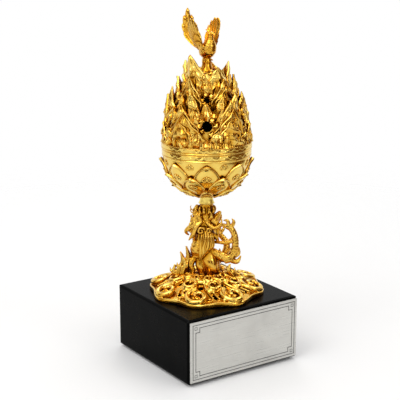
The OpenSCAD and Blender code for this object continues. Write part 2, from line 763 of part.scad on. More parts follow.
feather_w = 4.4;
feathers = [[6, 1], [-2, 0.98], [-11, 0.9], [-21, 0.79], [-33, 0.66], [-47, 0.52]];
wing_bow = 40;

module wing_outline() {
    for (f = feathers) rotate(-f[0]) {
        long = wing_length * f[1] - feather_w / 2;
        translate([-feather_w / 2, 0]) square([feather_w, long]);
        translate([0, long]) circle(d = feather_w);
    }
    circle(d = feather_w * 1.2);
}

module curved_wing() intersection() {
    linear_extrude(wing_length, center = true) wing_outline();
    translate([0, 0, -wing_bow]) rotate([0, 90, 0]) difference() {
        cylinder(r = wing_bow + wing_thickness / 2, h = 4 * wing_length, center = true);
        cylinder(r = wing_bow - wing_thickness / 2, h = 4 * wing_length, center = true);
    }
}

module bird_wing_left() color(pale_gold) difference() {
    translate([-2.4, -0.6, bird_z + 6]) rotate([0, -32, 0]) rotate([-14, 0, 0])
        rotate([90, 0, -90]) curved_wing();
    bird_bulk();
}

module bird_wing_right() color(pale_gold) difference() {
    mirror([1, 0, 0]) translate([-2.4, -0.6, bird_z + 6]) rotate([0, -32, 0]) rotate([-14, 0, 0])
        rotate([90, 0, -90]) curved_wing();
    bird_bulk();
}

tail_bow = 22;
tail_half = 3.2;
tail_root = [0, 3, 5];
tail_back = 14.5;

module tail_outline(long) {
    reach = long / 2;
    r = (reach * reach + tail_half * tail_half) / (2 * tail_half);
    translate([0, reach]) intersection() {
        translate([r - tail_half, 0]) circle(r);
        translate([tail_half - r, 0]) circle(r);
    }
    for (t = [0.3, 0.5, 0.7], x = [-1, 1])
        translate([x * 2.2, long * t]) circle(1.7 - t);
}

module bird_tail() color(pale_gold) {
    long = norm([tail_back, tail_rise]);
    sag = sqrt(tail_bow * tail_bow - long * long / 4);
    difference() {
        translate(tail_root + [0, 0, bird_z]) rotate([atan2(tail_rise, tail_back), 0, 0]) intersection() {
            linear_extrude(long, center = true) tail_outline(long);
            translate([0, long / 2, sag]) rotate([0, 90, 0]) difference() {
                cylinder(r = tail_bow + wing_thickness, h = 4 * tail_half, center = true);
                cylinder(r = tail_bow, h = 4 * tail_half, center = true);
            }
        }
        bird_bulk();
    }
}

base_felt();
plinth();
plinth_washer();
plinth_screw();
plate_tape();
name_plate();
foot();
foot_scrolls();
foot_flames();
dragon_body();
dragon_head();
dragon_mane();
dragon_raised_leg();
dragon_standing_legs();
dragon_tail();
neck_tube();
bowl();
petals_lower();
petals_middle();
petals_upper();
bowl_washer();
bowl_bolt();
lid_dome();
lid_collar();
peaks_tier_1();
peaks_tier_2();
peaks_tier_3();
peaks_tier_4();
peaks_tier_5();
finial_nut();
finial_pedestal();
bird_body();
bird_wing_left();
bird_wing_right();
bird_tail();
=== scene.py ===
"""Looks of a gilt hill censer: lotus bowl, hill lid, bird, dragon stem and wave foot on a plinth."""

import math
import random

import bmesh
import bpy
import numpy as np
from mathutils import Matrix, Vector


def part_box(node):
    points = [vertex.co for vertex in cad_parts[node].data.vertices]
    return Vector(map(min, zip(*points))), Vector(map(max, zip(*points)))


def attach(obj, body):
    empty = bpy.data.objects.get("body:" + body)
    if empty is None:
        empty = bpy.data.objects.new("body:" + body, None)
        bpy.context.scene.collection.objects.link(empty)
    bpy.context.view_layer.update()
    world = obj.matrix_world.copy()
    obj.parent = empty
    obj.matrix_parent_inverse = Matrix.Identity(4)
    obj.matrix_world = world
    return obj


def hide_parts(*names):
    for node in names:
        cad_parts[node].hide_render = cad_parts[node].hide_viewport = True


bl_info = {
    "name": "Gilt Hill Censer",
    "version": (1, 0, 0),
    "blender": (4, 5, 0),
    "location": "View3D > Sidebar > Censer",
    "description": "Dresses the construction of a hill censer with its castings, finishes and stage",
    "category": "Object",
}

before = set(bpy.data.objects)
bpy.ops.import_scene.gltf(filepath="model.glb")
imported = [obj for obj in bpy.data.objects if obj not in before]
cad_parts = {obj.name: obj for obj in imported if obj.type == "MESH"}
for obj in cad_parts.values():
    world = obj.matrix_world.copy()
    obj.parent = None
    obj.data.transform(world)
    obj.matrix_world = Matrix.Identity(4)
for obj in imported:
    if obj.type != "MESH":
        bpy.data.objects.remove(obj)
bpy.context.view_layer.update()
MM = 0.001
TAU = 2 * math.pi


def low(node):
    """The lowest corner of a construction node, in millimetres."""
    return np.array(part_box(node)[0]) / MM


def high(node):
    """The highest corner of a construction node, in millimetres."""
    return np.array(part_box(node)[1]) / MM


# Heights, radii and corners taken from the construction, in millimetres
PLINTH_TOP = high("plinth")[2]
HUB_TOP = high("foot")[2]
NECK_LOW = low("neck_tube")[2]
NECK_HIGH = high("neck_tube")[2]
BOSS_LOW = low("bowl")[2]
MOUTH = high("bowl")[2]
BAND_RADIUS = high("bowl")[0]
COLLAR_TOP = high("lid_collar")[2]
COLLAR_LOW = low("lid_collar")[2]
COLLAR_RADIUS = high("lid_collar")[0]
DOME_RADIUS = high("lid_dome")[0]
DOME_TOP = high("lid_dome")[2]
STUD_LOW = low("finial_pedestal")[2]
PEG_HIGH = high("finial_pedestal")[2]
PEDESTAL_RADIUS = high("finial_pedestal")[0]
BIRD_LOW = low("bird_body")[2]
FOOT_RADIUS = high("foot")[0]
PLATE_LOW = low("name_plate")
PLATE_HIGH = high("name_plate")
FELT_LOW = low("base_felt")
FELT_HIGH = high("base_felt")

# The petals, the hills and the dragon face the camera
FACING = math.radians(236)
DRAGON_DEGREES = -34


# Settings that a user would change


def length(name, description, millimetres):
    """A length setting, given in millimetres."""
    return bpy.props.FloatProperty(
        name=name, description=description, default=millimetres * MM, min=0, unit="LENGTH", precision=5
    )


def colour(name, description, value):
    """A linear colour setting."""
    return bpy.props.FloatVectorProperty(
        name=name, description=description, default=value, size=3, min=0, max=1, subtype="COLOR"
    )


def factor(name, description, value):
    """A setting from nought to one."""
    return bpy.props.FloatProperty(
        name=name, description=description, default=value, min=0, max=1, subtype="FACTOR"
    )


def count(name, description, value):
    """A whole number of like pieces."""
    return bpy.props.IntProperty(name=name, description=description, default=value, min=1, max=64)


class CenserFinish(bpy.types.PropertyGroup):
    """Colours and gloss of the censer's finishes."""

    gold: colour("Gold", "Polished gilding in the open", (0.86, 0.62, 0.14))
    # Amber is painted shade in shallow folds, and umber is patina and painted shade in deep folds.
    amber: colour("Amber", "Gilding in shallow folds", (0.67, 0.30, 0.009))
    umber: colour("Umber", "Dark wash left in deep folds", (0.22, 0.068, 0.002))
    # Near-black painted shade for the dome's inner walls.
    inner_shade: colour("Inner Shade", "Inner walls that the incense has darkened", (0.012, 0.010, 0.008))
    gilt_roughness: factor("Gilt Roughness", "Roughness of the polished gilding", 0.11)
    lacquer: colour("Lacquer", "Satin black paint on the plinth", (0.0012, 0.0014, 0.0014))
    worn_lacquer: colour("Worn Lacquer", "Paint rubbed pale along the plinth's edges", (0.03, 0.03, 0.029))
    plate: colour("Plate", "Satin metal of the plate", (0.62, 0.615, 0.58))
    ink: colour("Ink", "Printed rules on the plate", (0.035, 0.033, 0.035))
    steel: colour("Steel", "Zinc plated fixings", (0.52, 0.53, 0.55))
    tape: colour("Tape", "Adhesive tape behind the plate", (0.55, 0.53, 0.47))
    felt: colour("Felt", "Felt under the plinth", (0.014, 0.03, 0.02))


class CenserForm(bpy.types.PropertyGroup):
    """Counts and fine sizes of the castings."""

    scroll_count: count("Scrolls", "Wave scrolls round the foot", 8)
    curl_count: count("Curls", "Small curls round the dragon's feet", 11)
    petal_count: count("Petals", "Petals in each row of the bowl", 8)
    peak_height: length("Peak Height", "Height of a full hill above its ring", 12)
    petal_lift: length("Petal Lift", "How far a petal's tip curls away from the bowl", 1.1)
    fuse: length("Fuse", "Size of the cells that fuse a casting's strands", 0.24)
    wing_length: length("Wing Length", "Length of the longest feather", 16.5)
    rule_width: length("Rule Width", "Width of a printed rule on the plate", 0.34)


class CenserStage(bpy.types.PropertyGroup):
    """Camera, light and floor."""

    azimuth: bpy.props.FloatProperty(
        name="Azimuth", description="Camera's turn round the censer",
        default=math.radians(-34.093), subtype="ANGLE",
    )
    elevation: bpy.props.FloatProperty(
        name="Elevation", description="Camera's height above the horizon",
        default=math.radians(14.351), subtype="ANGLE",
    )
    distance: length("Distance", "From the aim point to the camera", 589.16)
    aim_side: bpy.props.FloatProperty(
        name="Aim Side", description="Aim point's shift to the right",
        default=-3.475 * MM, unit="LENGTH", precision=5,
    )
    aim_up: length("Aim Up", "Aim point's shift up the picture", 83.726)
    lens: bpy.props.FloatProperty(
        name="Lens", description="Focal length in millimetres for a sensor 36 mm wide", default=95.88,
    )
    floor_radius: length("Floor Radius", "Radius at which the floor has faded away", 520)
    floor_colour: colour("Floor Colour", "Pale paper under the censer", (0.95, 0.945, 0.94))
    card_colour: colour("Card Colour", "Cards that the metal reflects", (0.17, 0.078, 0.014))
    sky_level: factor("Sky Level", "Strength of the white surround on rough surfaces", 0.83)


# Numbers and curves

TINY = 1e-9
FOLD_SEED = 3
FOLD_DIRECTIONS = 5
# Mean height of a fold, taken off so that folds neither swell nor shrink a surface
FOLD_MEAN = 0.36


def mix(a, b, t):
    """The value a share t of the way from a to b."""
    return a + (b - a) * t


def ramp(start, end, x):
    """A smooth step from nought at start to one at end."""
    t = np.clip((x - start) / (end - start), 0, 1)
    return t * t * (3 - 2 * t)


def unit(v):
    """Vectors scaled to length one."""
    return v / np.maximum(np.linalg.norm(v, axis=-1, keepdims=True), TINY)


def spline(knots, places):
    """Points of the smooth curve through the knots."""
    knots = np.asarray(knots, float)
    last = len(knots) - 1
    t = np.linspace(0, last, places)
    i = np.minimum(t.astype(int), last - 1)
    f = (t - i)[:, None]
    a, b = knots[np.maximum(i - 1, 0)], knots[i]
    c, d = knots[i + 1], knots[np.minimum(i + 2, last)]
    return (2 * b + (c - a) * f + (2 * a - 5 * b + 4 * c - d) * f**2 + (3 * b - a - 3 * c + d) * f**3) / 2


def crumple(points, size, height):
    """Sharp folds over a surface, about a size apart, like beaten rock."""
    chance = np.random.default_rng(FOLD_SEED)
    total = np.zeros(points.shape[:-1])
    for _ in range(FOLD_DIRECTIONS):
        direction = unit(chance.normal(size=3))
        wave = np.sin(points @ direction * math.pi / size + chance.uniform(0, TAU))
        total += 1 - np.abs(wave)
    return height * (total / FOLD_DIRECTIONS - FOLD_MEAN)


def rotation(axis, degrees):
    """The matrix of a turn about one axis."""
    c, s = math.cos(math.radians(degrees)), math.sin(math.radians(degrees))
    i, j = {"X": (1, 2), "Y": (2, 0), "Z": (0, 1)}[axis]
    matrix = np.eye(3)
    matrix[[i, i, j, j], [i, j, i, j]] = c, -s, s, c
    return matrix


def polar(radius, angle, height):
    """The point at a radius, an angle and a height."""
    return np.array([radius * math.cos(angle), radius * math.sin(angle), height])


def winding(steps, start, turns, outer, inner):
    """Shares along a curl that winds inwards, each with its x and y there."""
    for t in np.linspace(0, 1, steps):
        angle = TAU * (start + turns * t)
        r = mix(outer, inner, t)
        yield t, r * math.cos(angle), r * math.sin(angle)


def scales(around, pitch, height):
    """Relief of overlapping scales round a body, in rows a pitch apart."""
    def relief(along, angle):
        row = along / pitch
        shift = (np.floor(row) % 2) * 0.5
        across = np.abs((angle / TAU * around + shift) % 1 - 0.5) * 2
        tip = row % 1
        return height * (tip**1.5) * np.sqrt(np.maximum(1 - across**2, 0)) - 0.4 * height
    return relief


def grooved(strands, height, twist=0.5):
    """Relief of grooves that run along a strand and wind round it."""
    def relief(along, angle):
        return height * np.cos(strands * angle + twist * along)
    return relief


# Shells: each is a pair of points in millimetres and faces

THINNEST = 0.06


def sheet_faces(rows, columns, wrap=False, start=0):
    """Quads of a grid, joined round its columns if it wraps."""
    wide = columns if wrap else columns - 1
    return [
        (start + i * columns + j, start + i * columns + (j + 1) % columns,
         start + (i + 1) * columns + (j + 1) % columns, start + (i + 1) * columns + j)
        for i in range(rows - 1) for j in range(wide)
    ]


def moved(shell, matrix=None, offset=(0, 0, 0)):
    """A shell turned by a matrix and then shifted."""
    points, faces = shell
    if matrix is not None:
        points = points @ np.asarray(matrix).T
    return points + np.asarray(offset), faces


def together(shells):
    """Several shells as one."""
    points, faces, start = [], [], 0
    for shell_points, shell_faces in shells:
        points.append(shell_points)
        faces += [tuple(i + start for i in face) for face in shell_faces]
        start += len(shell_points)
    return np.concatenate(points), faces


def sweep(knots, rings, sides, press=(0, 1, 0.2), flat=1.0, relief=None):
    """A tapering strand along knots of x, y, z and radius, squeezed by flat along press."""
    path = spline(knots, rings)
    centre = path[:, :3]
    radius = np.maximum(path[:, 3], THINNEST)
    tangent = unit(np.gradient(centre, axis=0))
    across = unit(np.cross(np.asarray(press, float), tangent))
    up = np.cross(tangent, across)
    angle = np.arange(sides) * TAU / sides
    along = np.concatenate([[0], np.cumsum(np.linalg.norm(np.diff(centre, axis=0), axis=1))])
    spread = np.repeat(radius[:, None], sides, axis=1)
    if relief:
        spread = spread + relief(along[:, None], angle[None, :])
    points = centre[:, None] + spread[..., None] * (
        np.cos(angle)[None, :, None] * across[:, None] + flat * np.sin(angle)[None, :, None] * up[:, None])
    points = np.concatenate([points.reshape(-1, 3), centre[:1], centre[-1:]])
    faces = sheet_faces(rings, sides, wrap=True)
    tip = rings * sides
    edge = (rings - 1) * sides
    faces += [((k + 1) % sides, k, tip) for k in range(sides)]
    faces += [(edge + k, edge + (k + 1) % sides, tip + 1) for k in range(sides)]
    return points, faces


def lathe(profile, segments, relief=None):
    """A closed ring turned from a closed profile of radius and height."""
    profile = np.asarray(profile, float)
    angle = np.arange(segments) * TAU / segments
    radius = np.repeat(profile[:, :1], segments, axis=1)
    height = np.repeat(profile[:, 1:], segments, axis=1)
    if relief:
        radius = radius + relief(radius, height, angle[None, :])
    points = np.stack([radius * np.cos(angle), radius * np.sin(angle), height], axis=-1).reshape(-1, 3)
    faces = sheet_faces(len(profile), segments, wrap=True)
    last = (len(profile) - 1) * segments
    faces += [(last + j, last + (j + 1) % segments, (j + 1) % segments, j) for j in range(segments)]
    return points, faces


def pillow(front, back):
    """A closed shell from a front grid and a back grid of the same size."""
    rows, columns = front.shape[:2]
    points = np.concatenate([front.reshape(-1, 3), back.reshape(-1, 3)])
    far = rows * columns
    faces = sheet_faces(rows, columns)
    faces += [tuple(reversed(face)) for face in sheet_faces(rows, columns, start=far)]
    border = list(range(columns))
    border += [i * columns + columns - 1 for i in range(1, rows)]
    border += [(rows - 1) * columns + j for j in range(columns - 2, -1, -1)]
    border += [i * columns for i in range(rows - 2, 0, -1)]
    for a, b in zip(border, border[1:] + border[:1]):
        faces.append((b, a, a + far, b + far))
    return points, faces


def ball(centre, radii, rows=9, sides=12):
    """A lump with its own radius along each axis."""
    steps = np.linspace(-1, 1, rows)
    knots = np.column_stack([np.zeros(rows), np.zeros(rows), steps, np.sqrt(np.maximum(1 - steps**2, 0))])
    points, faces = sweep(knots, rows, sides, press=(0, 1, 0))
    return points * np.asarray(radii) + np.asarray(centre), faces


# Objects

WELD = 1e-6


def linked(made):
    """Puts an object into the scene."""
    bpy.context.scene.collection.objects.link(made)
    return made


def shell_mesh(name, shells):
    """A mesh in metres from shells in millimetres, with its faces turned outwards."""
    points, faces = together(shells)
    mesh = bpy.data.meshes.new(name)
    mesh.from_pydata((points * MM).tolist(), [], faces)
    work = bmesh.new()
    work.from_mesh(mesh)
    bmesh.ops.remove_doubles(work, verts=work.verts, dist=WELD)
    bmesh.ops.recalc_face_normals(work, faces=work.faces)
    work.to_mesh(mesh)
    work.free()
    return mesh


def smooth_object(name, mesh):
    """A smooth object with a mesh."""
    mesh.shade_smooth()
    return linked(bpy.data.objects.new(name, mesh))


def mesh_object(name, shells):
    """A smooth object from shells."""
    return smooth_object(name, shell_mesh(name, shells))


def fused_object(name, shells, cell, soften=2, loose=()):
    """One casting: strands fused in cells and lightly softened, beside loose strands that stay crisp."""
    rough = mesh_object(name + "_rough", shells)
    fuse = rough.modifiers.new("fuse", "REMESH")
    fuse.mode = "VOXEL"
    fuse.voxel_size = cell
    fuse.use_smooth_shade = True
    soft = rough.modifiers.new("soften", "SMOOTH")
    soft.factor = 0.5
    soft.iterations = soften
    view = bpy.context.evaluated_depsgraph_get()
    mesh = bpy.data.meshes.new_from_object(rough.evaluated_get(view))
    mesh.name = name
    old = rough.data
    bpy.data.objects.remove(rough)
    bpy.data.meshes.remove(old)
    if loose:
        crisp = shell_mesh(name + "_crisp", loose)
        work = bmesh.new()
        work.from_mesh(crisp)
        work.from_mesh(mesh)
        work.to_mesh(mesh)
        work.free()
        bpy.data.meshes.remove(crisp)
    return smooth_object(name, mesh)


def floor_at(made, height):
    """Lifts what lies below a height, in millimetres, up to it."""
    mesh = made.data
    points = np.empty(len(mesh.vertices) * 3)
    mesh.vertices.foreach_get("co", points)
    points[2::3] = np.maximum(points[2::3], height * MM)
    mesh.vertices.foreach_set("co", points)
    mesh.update()


def paint(target, material):
    """Gives an object one finish."""
    target.data.materials.clear()
    target.data.materials.append(material)


def finish_piece(made, material, body, slot, *nodes):
    """Gives a piece its finish and its body and hides the construction nodes that it stands for; slot is not
    used.
    """
    paint(made, material)
    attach(made, body)
    if nodes:
        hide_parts(*nodes)
    return made


def dress_nodes(material, *nodes):
    """Gives construction nodes a finish."""
    for node in nodes:
        paint(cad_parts[node], material)


# Shared effects, each a node group

COLOUR_SOCKETS = ("Gold", "Amber", "Umber", "Color")


def connect(tree, socket, value):
    """Links a socket to another, or sets its number, vector or colour."""
    if isinstance(value, bpy.types.NodeSocket):
        tree.links.new(value, socket)
    else:
        socket.default_value = (*value, 1) if socket.type == "RGBA" else value


def fill(tree, sockets, **values):
    """Links or sets sockets by their names, with underscores for spaces."""
    for key, value in values.items():
        connect(tree, next(s for s in sockets if s.name.lower() == key.replace("_", " ")), value)


def add_node(tree, kind, *values, **settings):
    """A shader node with its settings; values go to its inputs in order."""
    node = tree.nodes.new("ShaderNode" + kind)
    for key, value in settings.items():
        setattr(node, key, value)
    for socket, value in zip(node.inputs, values):
        connect(tree, socket, value)
    return node


def math_node(tree, operation, *values):
    """The result of a Math node."""
    return add_node(tree, "Math", *values, operation=operation).outputs[0]


def vector_node(tree, operation, *values):
    """The number or the vector that a Vector Math node puts out."""
    result = "Value" if operation in ("DOT_PRODUCT", "LENGTH") else "Vector"
    return add_node(tree, "VectorMath", *values, operation=operation).outputs[result]


def remap(tree, value, start, end, low_value=0.0, high_value=1.0):
    """A value spread from one range to another and held at its ends."""
    return add_node(tree, "MapRange", value, start, end, low_value, high_value, clamp=True).outputs["Result"]


def blend_colours(tree, mask, *tones):
    """One colour turning into another under a mask."""
    node = add_node(tree, "Mix", mask, data_type="RGBA")
    for socket, tone in zip([s for s in node.inputs if s.type == "RGBA"], tones):
        connect(tree, socket, tone)
    return next(s for s in node.outputs if s.type == "RGBA")


def noise(tree, scale, detail=3.0, stretch=(1, 1, 1)):
    """Noise in the object's own space; scale counts features in a metre."""
    spread = add_node(tree, "Mapping", add_node(tree, "TexCoord").outputs["Object"])
    spread.inputs["Scale"].default_value = stretch
    node = add_node(tree, "TexNoise", spread.outputs["Vector"])
    fill(tree, node.inputs, scale=scale, detail=detail)
    return node.outputs["Fac"]


def new_group(name, inputs, outputs):
    """An empty shader group with named sockets for colours and numbers."""
    group = bpy.data.node_groups.new(name, "ShaderNodeTree")
    for side, sockets in (("INPUT", inputs), ("OUTPUT", outputs)):
        for socket in sockets:
            kind = "NodeSocketColor" if socket in COLOUR_SOCKETS else "NodeSocketFloat"
            group.interface.new_socket(socket, in_out=side, socket_type=kind)
    given = group.nodes.new("NodeGroupInput")
    result = group.nodes.new("NodeGroupOutput")
    return group, given.outputs, result.inputs


def gilt_group():
    """Gilding that turns amber in folds and umber in deep ones, partly patina and partly painted shade found
    by ambient occlusion, with a cast skin.
    """
    group, given, result = new_group(
        "gilt patina and painted shade", ("Gold", "Amber", "Umber", "Fold Depth", "Shade", "Roughness"),
        ("Color", "Roughness", "Height"))
    # The amber and umber that this occlusion lays in folds and recesses are partly patina, partly painted
    # shade.
    open_sky = add_node(group, "AmbientOcclusion", samples=8)
    fill(group, open_sky.inputs, distance=given["Fold Depth"])
    patches = remap(group, noise(group, 160), 0.3, 0.7, -0.16, 0.14)
    # Shade spreads the painted shade of the folds over more of the surface.
    patches = math_node(group, "SUBTRACT", patches, given["Shade"])
    open_to_light = math_node(group, "ADD", open_sky.outputs["AO"], patches)
    amber_shade_mask = remap(group, open_to_light, 0.55, 0.95)
    # deep marks where the umber goes: painted shade in deep recesses, partly patina.
    deep = remap(group, open_to_light, 0.25, 0.62)
    folds = blend_colours(group, amber_shade_mask, given["Amber"], given["Gold"])
    smear = remap(group, noise(group, 1400, 4.0), 0.35, 0.75, 0.0, 0.09)
    dull = remap(group, deep, 0.0, 1.0, 0.25, 0.0)
    rough = math_node(group, "ADD", math_node(group, "ADD", given["Roughness"], smear), dull)
    tone = blend_colours(group, deep, given["Umber"], folds)
    fill(group, result, color=tone, roughness=rough, height=noise(group, 520, 1.5))
    return group


def wear_group():
    """A mask of rubbed edges, found by rounding the surface, broken up by noise."""
    group, given, result = new_group("rubbed edges", ("Reach",), ("Mask", "Dust", "Height"))
    rounded = add_node(group, "Bevel", given["Reach"], samples=6).outputs["Normal"]
    facing = vector_node(group, "DOT_PRODUCT", rounded, add_node(group, "NewGeometry").outputs["Normal"])
    edge = remap(group, facing, 0.9, 1.0, 1.0, 0.0)
    broken = remap(group, noise(group, 420, 5.0), 0.42, 0.66)
    dust = remap(group, noise(group, 90, 6.0), 0.35, 0.8)
    worn = math_node(group, "MULTIPLY", edge, broken)
    fill(group, result, mask=worn, dust=dust, height=noise(group, 2600, 2.0))
    return group


def brush_group():
    """Fine lines drawn along one direction by brushing."""
    group, given, result = new_group("brushed lines", ("Strength",), ("Lines", "Roughness"))
    lines = noise(group, 900, 3.0, stretch=(0.06, 1, 4))
    spread = math_node(group, "MULTIPLY", remap(group, lines, 0.3, 0.7, -1.0, 1.0), given["Strength"])
    fill(group, result, lines=lines, roughness=math_node(group, "ADD", spread, 0.34))
    return group


GROUP_MAKERS = {"gilt patina and painted shade": gilt_group, "rubbed edges": wear_group, "brushed lines": brush_group}


def place_group(tree, name, **values):
    """Places a shared effect in a material with its own values."""
    group = bpy.data.node_groups.get(name) or GROUP_MAKERS[name]()
    node = add_node(tree, "Group", node_tree=group)
    fill(tree, node.inputs, **values)
    return node.outputs


# Finishes


def new_finish(name):
    """An empty material, its nodes, its shader's sockets and the settings of the finishes."""
    material = bpy.data.materials.new(name)
    material.use_nodes = True
    tree = material.node_tree
    return material, tree, tree.nodes["Principled BSDF"].inputs, bpy.context.scene.censer_finish


def bump(tree, height, shader, strength, millimetres):
    """A fine bump."""
    node = add_node(tree, "Bump")
    fill(tree, node.inputs, strength=strength, distance=millimetres * MM, height=height)
    fill(tree, shader, normal=node.outputs["Normal"])


def scaled(tone, share):
    """A colour made darker or lighter."""
    return tuple(share * x for x in tone)


def gilt_skin(tree, look, fold_depth=3, wash=0.0, dull=0.0, shade=0.0):
    """The patina and painted shade of a gilt finish, with the depth of its folds in millimetres."""
    # The tint towards amber is painted shade; below nought it lightens the gold as painted light.
    shaded_or_lit_gold = tuple(mix(a, b, wash) for a, b in zip(look.gold, look.amber))
    return place_group(
        tree, "gilt patina and painted shade", gold=shaded_or_lit_gold, amber=look.amber, umber=look.umber,
        fold_depth=fold_depth * MM, shade=shade, roughness=look.gilt_roughness + dull)


def gilt(name, **skin_values):
    """Gilt bronze with patina and painted shade in its folds; its tint towards amber darkens it as painted
    shade, or lightens it as painted light below nought, dull roughens it and shade spreads the painted shade
    of the folds.
    """
    if name in bpy.data.materials:
        return bpy.data.materials[name]
    material, tree, shader, look = new_finish(name)
    skin = gilt_skin(tree, look, **skin_values)
    fill(tree, shader, metallic=1.0, base_color=skin["Color"], roughness=skin["Roughness"])
    bump(tree, skin["Height"], shader, 0.15, 0.06)
    return material


def inner_shaded_gilt():
    """Gilding outside, and near-black painted shade on the walls that face the axis."""
    material, tree, shader, look = new_finish("inner_shaded_gilt")
    skin = gilt_skin(tree, look, dull=0.1)
    place = add_node(tree, "TexCoord").outputs
    outward = vector_node(tree, "NORMALIZE", vector_node(tree, "MULTIPLY", place["Object"], (1, 1, 0)))
    outside = remap(tree, vector_node(tree, "DOT_PRODUCT", outward, place["Normal"]), -0.05, 0.1)
    dull = remap(tree, outside, 0.0, 1.0, 0.5, 0.0)
    # Inside, the near-black colour is painted shade.
    fill(tree, shader, metallic=outside, base_color=blend_colours(tree, outside, look.inner_shade, skin["Color"]),
         roughness=math_node(tree, "ADD", skin["Roughness"], dull))
    bump(tree, skin["Height"], shader, 0.3, 0.1)
    return material


def black_lacquer():
    """Satin black paint, rubbed along its edges and lightly dusted, over wood."""
    material, tree, shader, look = new_finish("black_lacquer")
    wear = place_group(tree, "rubbed edges", reach=1.2 * MM)
    haze = math_node(tree, "MULTIPLY", wear["Dust"], 0.08)
    tint = math_node(tree, "MAXIMUM", haze, math_node(tree, "MULTIPLY", wear["Mask"], 0.7))
    rough = math_node(tree, "ADD", math_node(tree, "MULTIPLY", wear["Dust"], 0.1), 0.22)
    fill(tree, shader, base_color=blend_colours(tree, tint, look.lacquer, look.worn_lacquer),
         roughness=rough, specular_ior_level=0.02)
    grain = noise(tree, 260, 4.0, stretch=(0.08, 1, 1))
    pits = math_node(tree, "MULTIPLY", wear["Height"], 0.4)
    bump(tree, math_node(tree, "ADD", grain, pits), shader, 0.3, 0.08)
    return material


def satin_plate():
    """Brushed pale metal with faint handling marks."""
    material, tree, shader, look = new_finish("satin_plate")
    brushed = place_group(tree, "brushed lines", strength=0.08)
    marks = remap(tree, noise(tree, 70, 5.0), 0.4, 0.75)
    lines = remap(tree, brushed["Lines"], 0.3, 0.75, 0.0, 0.6)
    dim = math_node(tree, "MAXIMUM", marks, lines)
    fill(tree, shader, base_color=blend_colours(tree, dim, look.plate, scaled(look.plate, 0.82)),
         metallic=0.55, roughness=brushed["Roughness"])
    bump(tree, brushed["Lines"], shader, 0.15, 0.03)
    return material


def printed_ink():
    """Matt printed rules, a little uneven."""
    material, tree, shader, look = new_finish("printed_ink")
    thin = tuple(mix(a, b, 0.25) for a, b in zip(look.ink, look.plate))
    patchy = remap(tree, noise(tree, 900, 4.0), 0.5, 0.75)
    fill(tree, shader, base_color=blend_colours(tree, patchy, look.ink, thin),
         roughness=remap(tree, patchy, 0.0, 1.0, 0.5, 0.62))
    return material


def plated_steel():
    """Zinc plated steel with turning marks and rubbed edges."""
    material, tree, shader, look = new_finish("plated_steel")
    brushed = place_group(tree, "brushed lines", strength=0.12)
    wear = place_group(tree, "rubbed edges", reach=0.3 * MM)
    spots = math_node(tree, "MULTIPLY", wear["Dust"], 0.7)
    fill(tree, shader, base_color=blend_colours(tree, spots, look.steel, scaled(look.steel, 0.6)),
         metallic=1.0, roughness=brushed["Roughness"])
    bump(tree, wear["Height"], shader, 0.2, 0.04)
    return material


def paper_tape():
    """Cloudy double sided tape."""
    material, tree, shader, look = new_finish("paper_tape")
    cloud = remap(tree, noise(tree, 240, 5.0), 0.35, 0.7)
    fill(tree, shader, base_color=blend_colours(tree, cloud, look.tape, scaled(look.tape, 0.7)),
         roughness=remap(tree, cloud, 0.0, 1.0, 0.35, 0.6))
    bump(tree, cloud, shader, 0.2, 0.05)
    return material


def pressed_felt():
    """Dark pressed felt with a fuzzy, mottled face."""
    material, tree, shader, look = new_finish("pressed_felt")
    fibres = noise(tree, 1900, 6.0)
    fluff = remap(tree, fibres, 0.4, 0.7)
    fill(tree, shader, base_color=blend_colours(tree, fluff, look.felt, scaled(look.felt, 2.2)),
         roughness=remap(tree, fibres, 0.3, 0.7, 0.85, 1.0), sheen_weight=0.4)
    bump(tree, fibres, shader, 0.6, 0.3)
    return material


# Foot: a pierced cone of waves with combed scrolls at its rim

HUB_RADIUS = 8.0
FOOT_RIM = 1.4
FOOT_WALL = 1.5
RIM_LOBE = 1.1
RIM_BEAD = 0.7
SCROLL_RADIUS = 6.4
SCROLL_ORBIT = FOOT_RADIUS - SCROLL_RADIUS + 1
SCROLL_TURNS = 1.3
SCROLL_EYE = 0.16
SCROLL_RISE = 1.1
SCROLL_START = 200 / 360
# Holes between the waves: share of the way from hub to rim, turn and radius
PIERCINGS = [(0.36, 0.0, 1.5), (0.68, 0.5, 2.0)]
# Swells between the piercings: radius of their circle, turn, half width and height
SWELLS = [(11.0, 0.0, 4.0, 2.6), (18.0, 0.5, 3.6, 2.6), (12.6, 0.5, 3.6, 2.8)]
COMBED_WAVES = 4
COMB_END = 25.6
FOAM_BEADS = 4
FOAM_BELT = (17, 27.5)
HUB_CURLS = 7
FOOT_SEED = 7


def foot_height(r):
    """Height of the foot's cone at a radius."""
    slope = (HUB_TOP - PLINTH_TOP - FOOT_RIM) / (FOOT_RADIUS - HUB_RADIUS)
    return HUB_TOP - np.maximum(r - HUB_RADIUS, 0) * slope


def on_foot(radius, angle, lift):
    """A point over the foot's cone."""
    return polar(radius, angle, foot_height(radius) + lift)


def wave_scroll(angle, bead, size, orbit, lift, hand=1):
    """One wave: a bead that winds in from the rim to its eye."""
    knots = []
    for t, x, y in winding(18, hand * SCROLL_START, hand * SCROLL_TURNS, size, SCROLL_EYE * size):
        turn = math.atan2(y, orbit + x)
        place = on_foot(math.hypot(orbit + x, y), angle + turn, lift + SCROLL_RISE * t)
        knots.append((*place, mix(bead, 0.55 * bead, t)))
    return sweep(knots, 64, 10, press=(0, 0, 1))


def ring_of_curls(number, shift, bead, size, orbit, lift):
    """Small scrolls round the hub that wind to the left and to the right in turn."""
    for i in range(number):
        yield wave_scroll(TAU * (i + shift) / number, bead, size, orbit, lift, hand=-1 if i % 2 else 1)


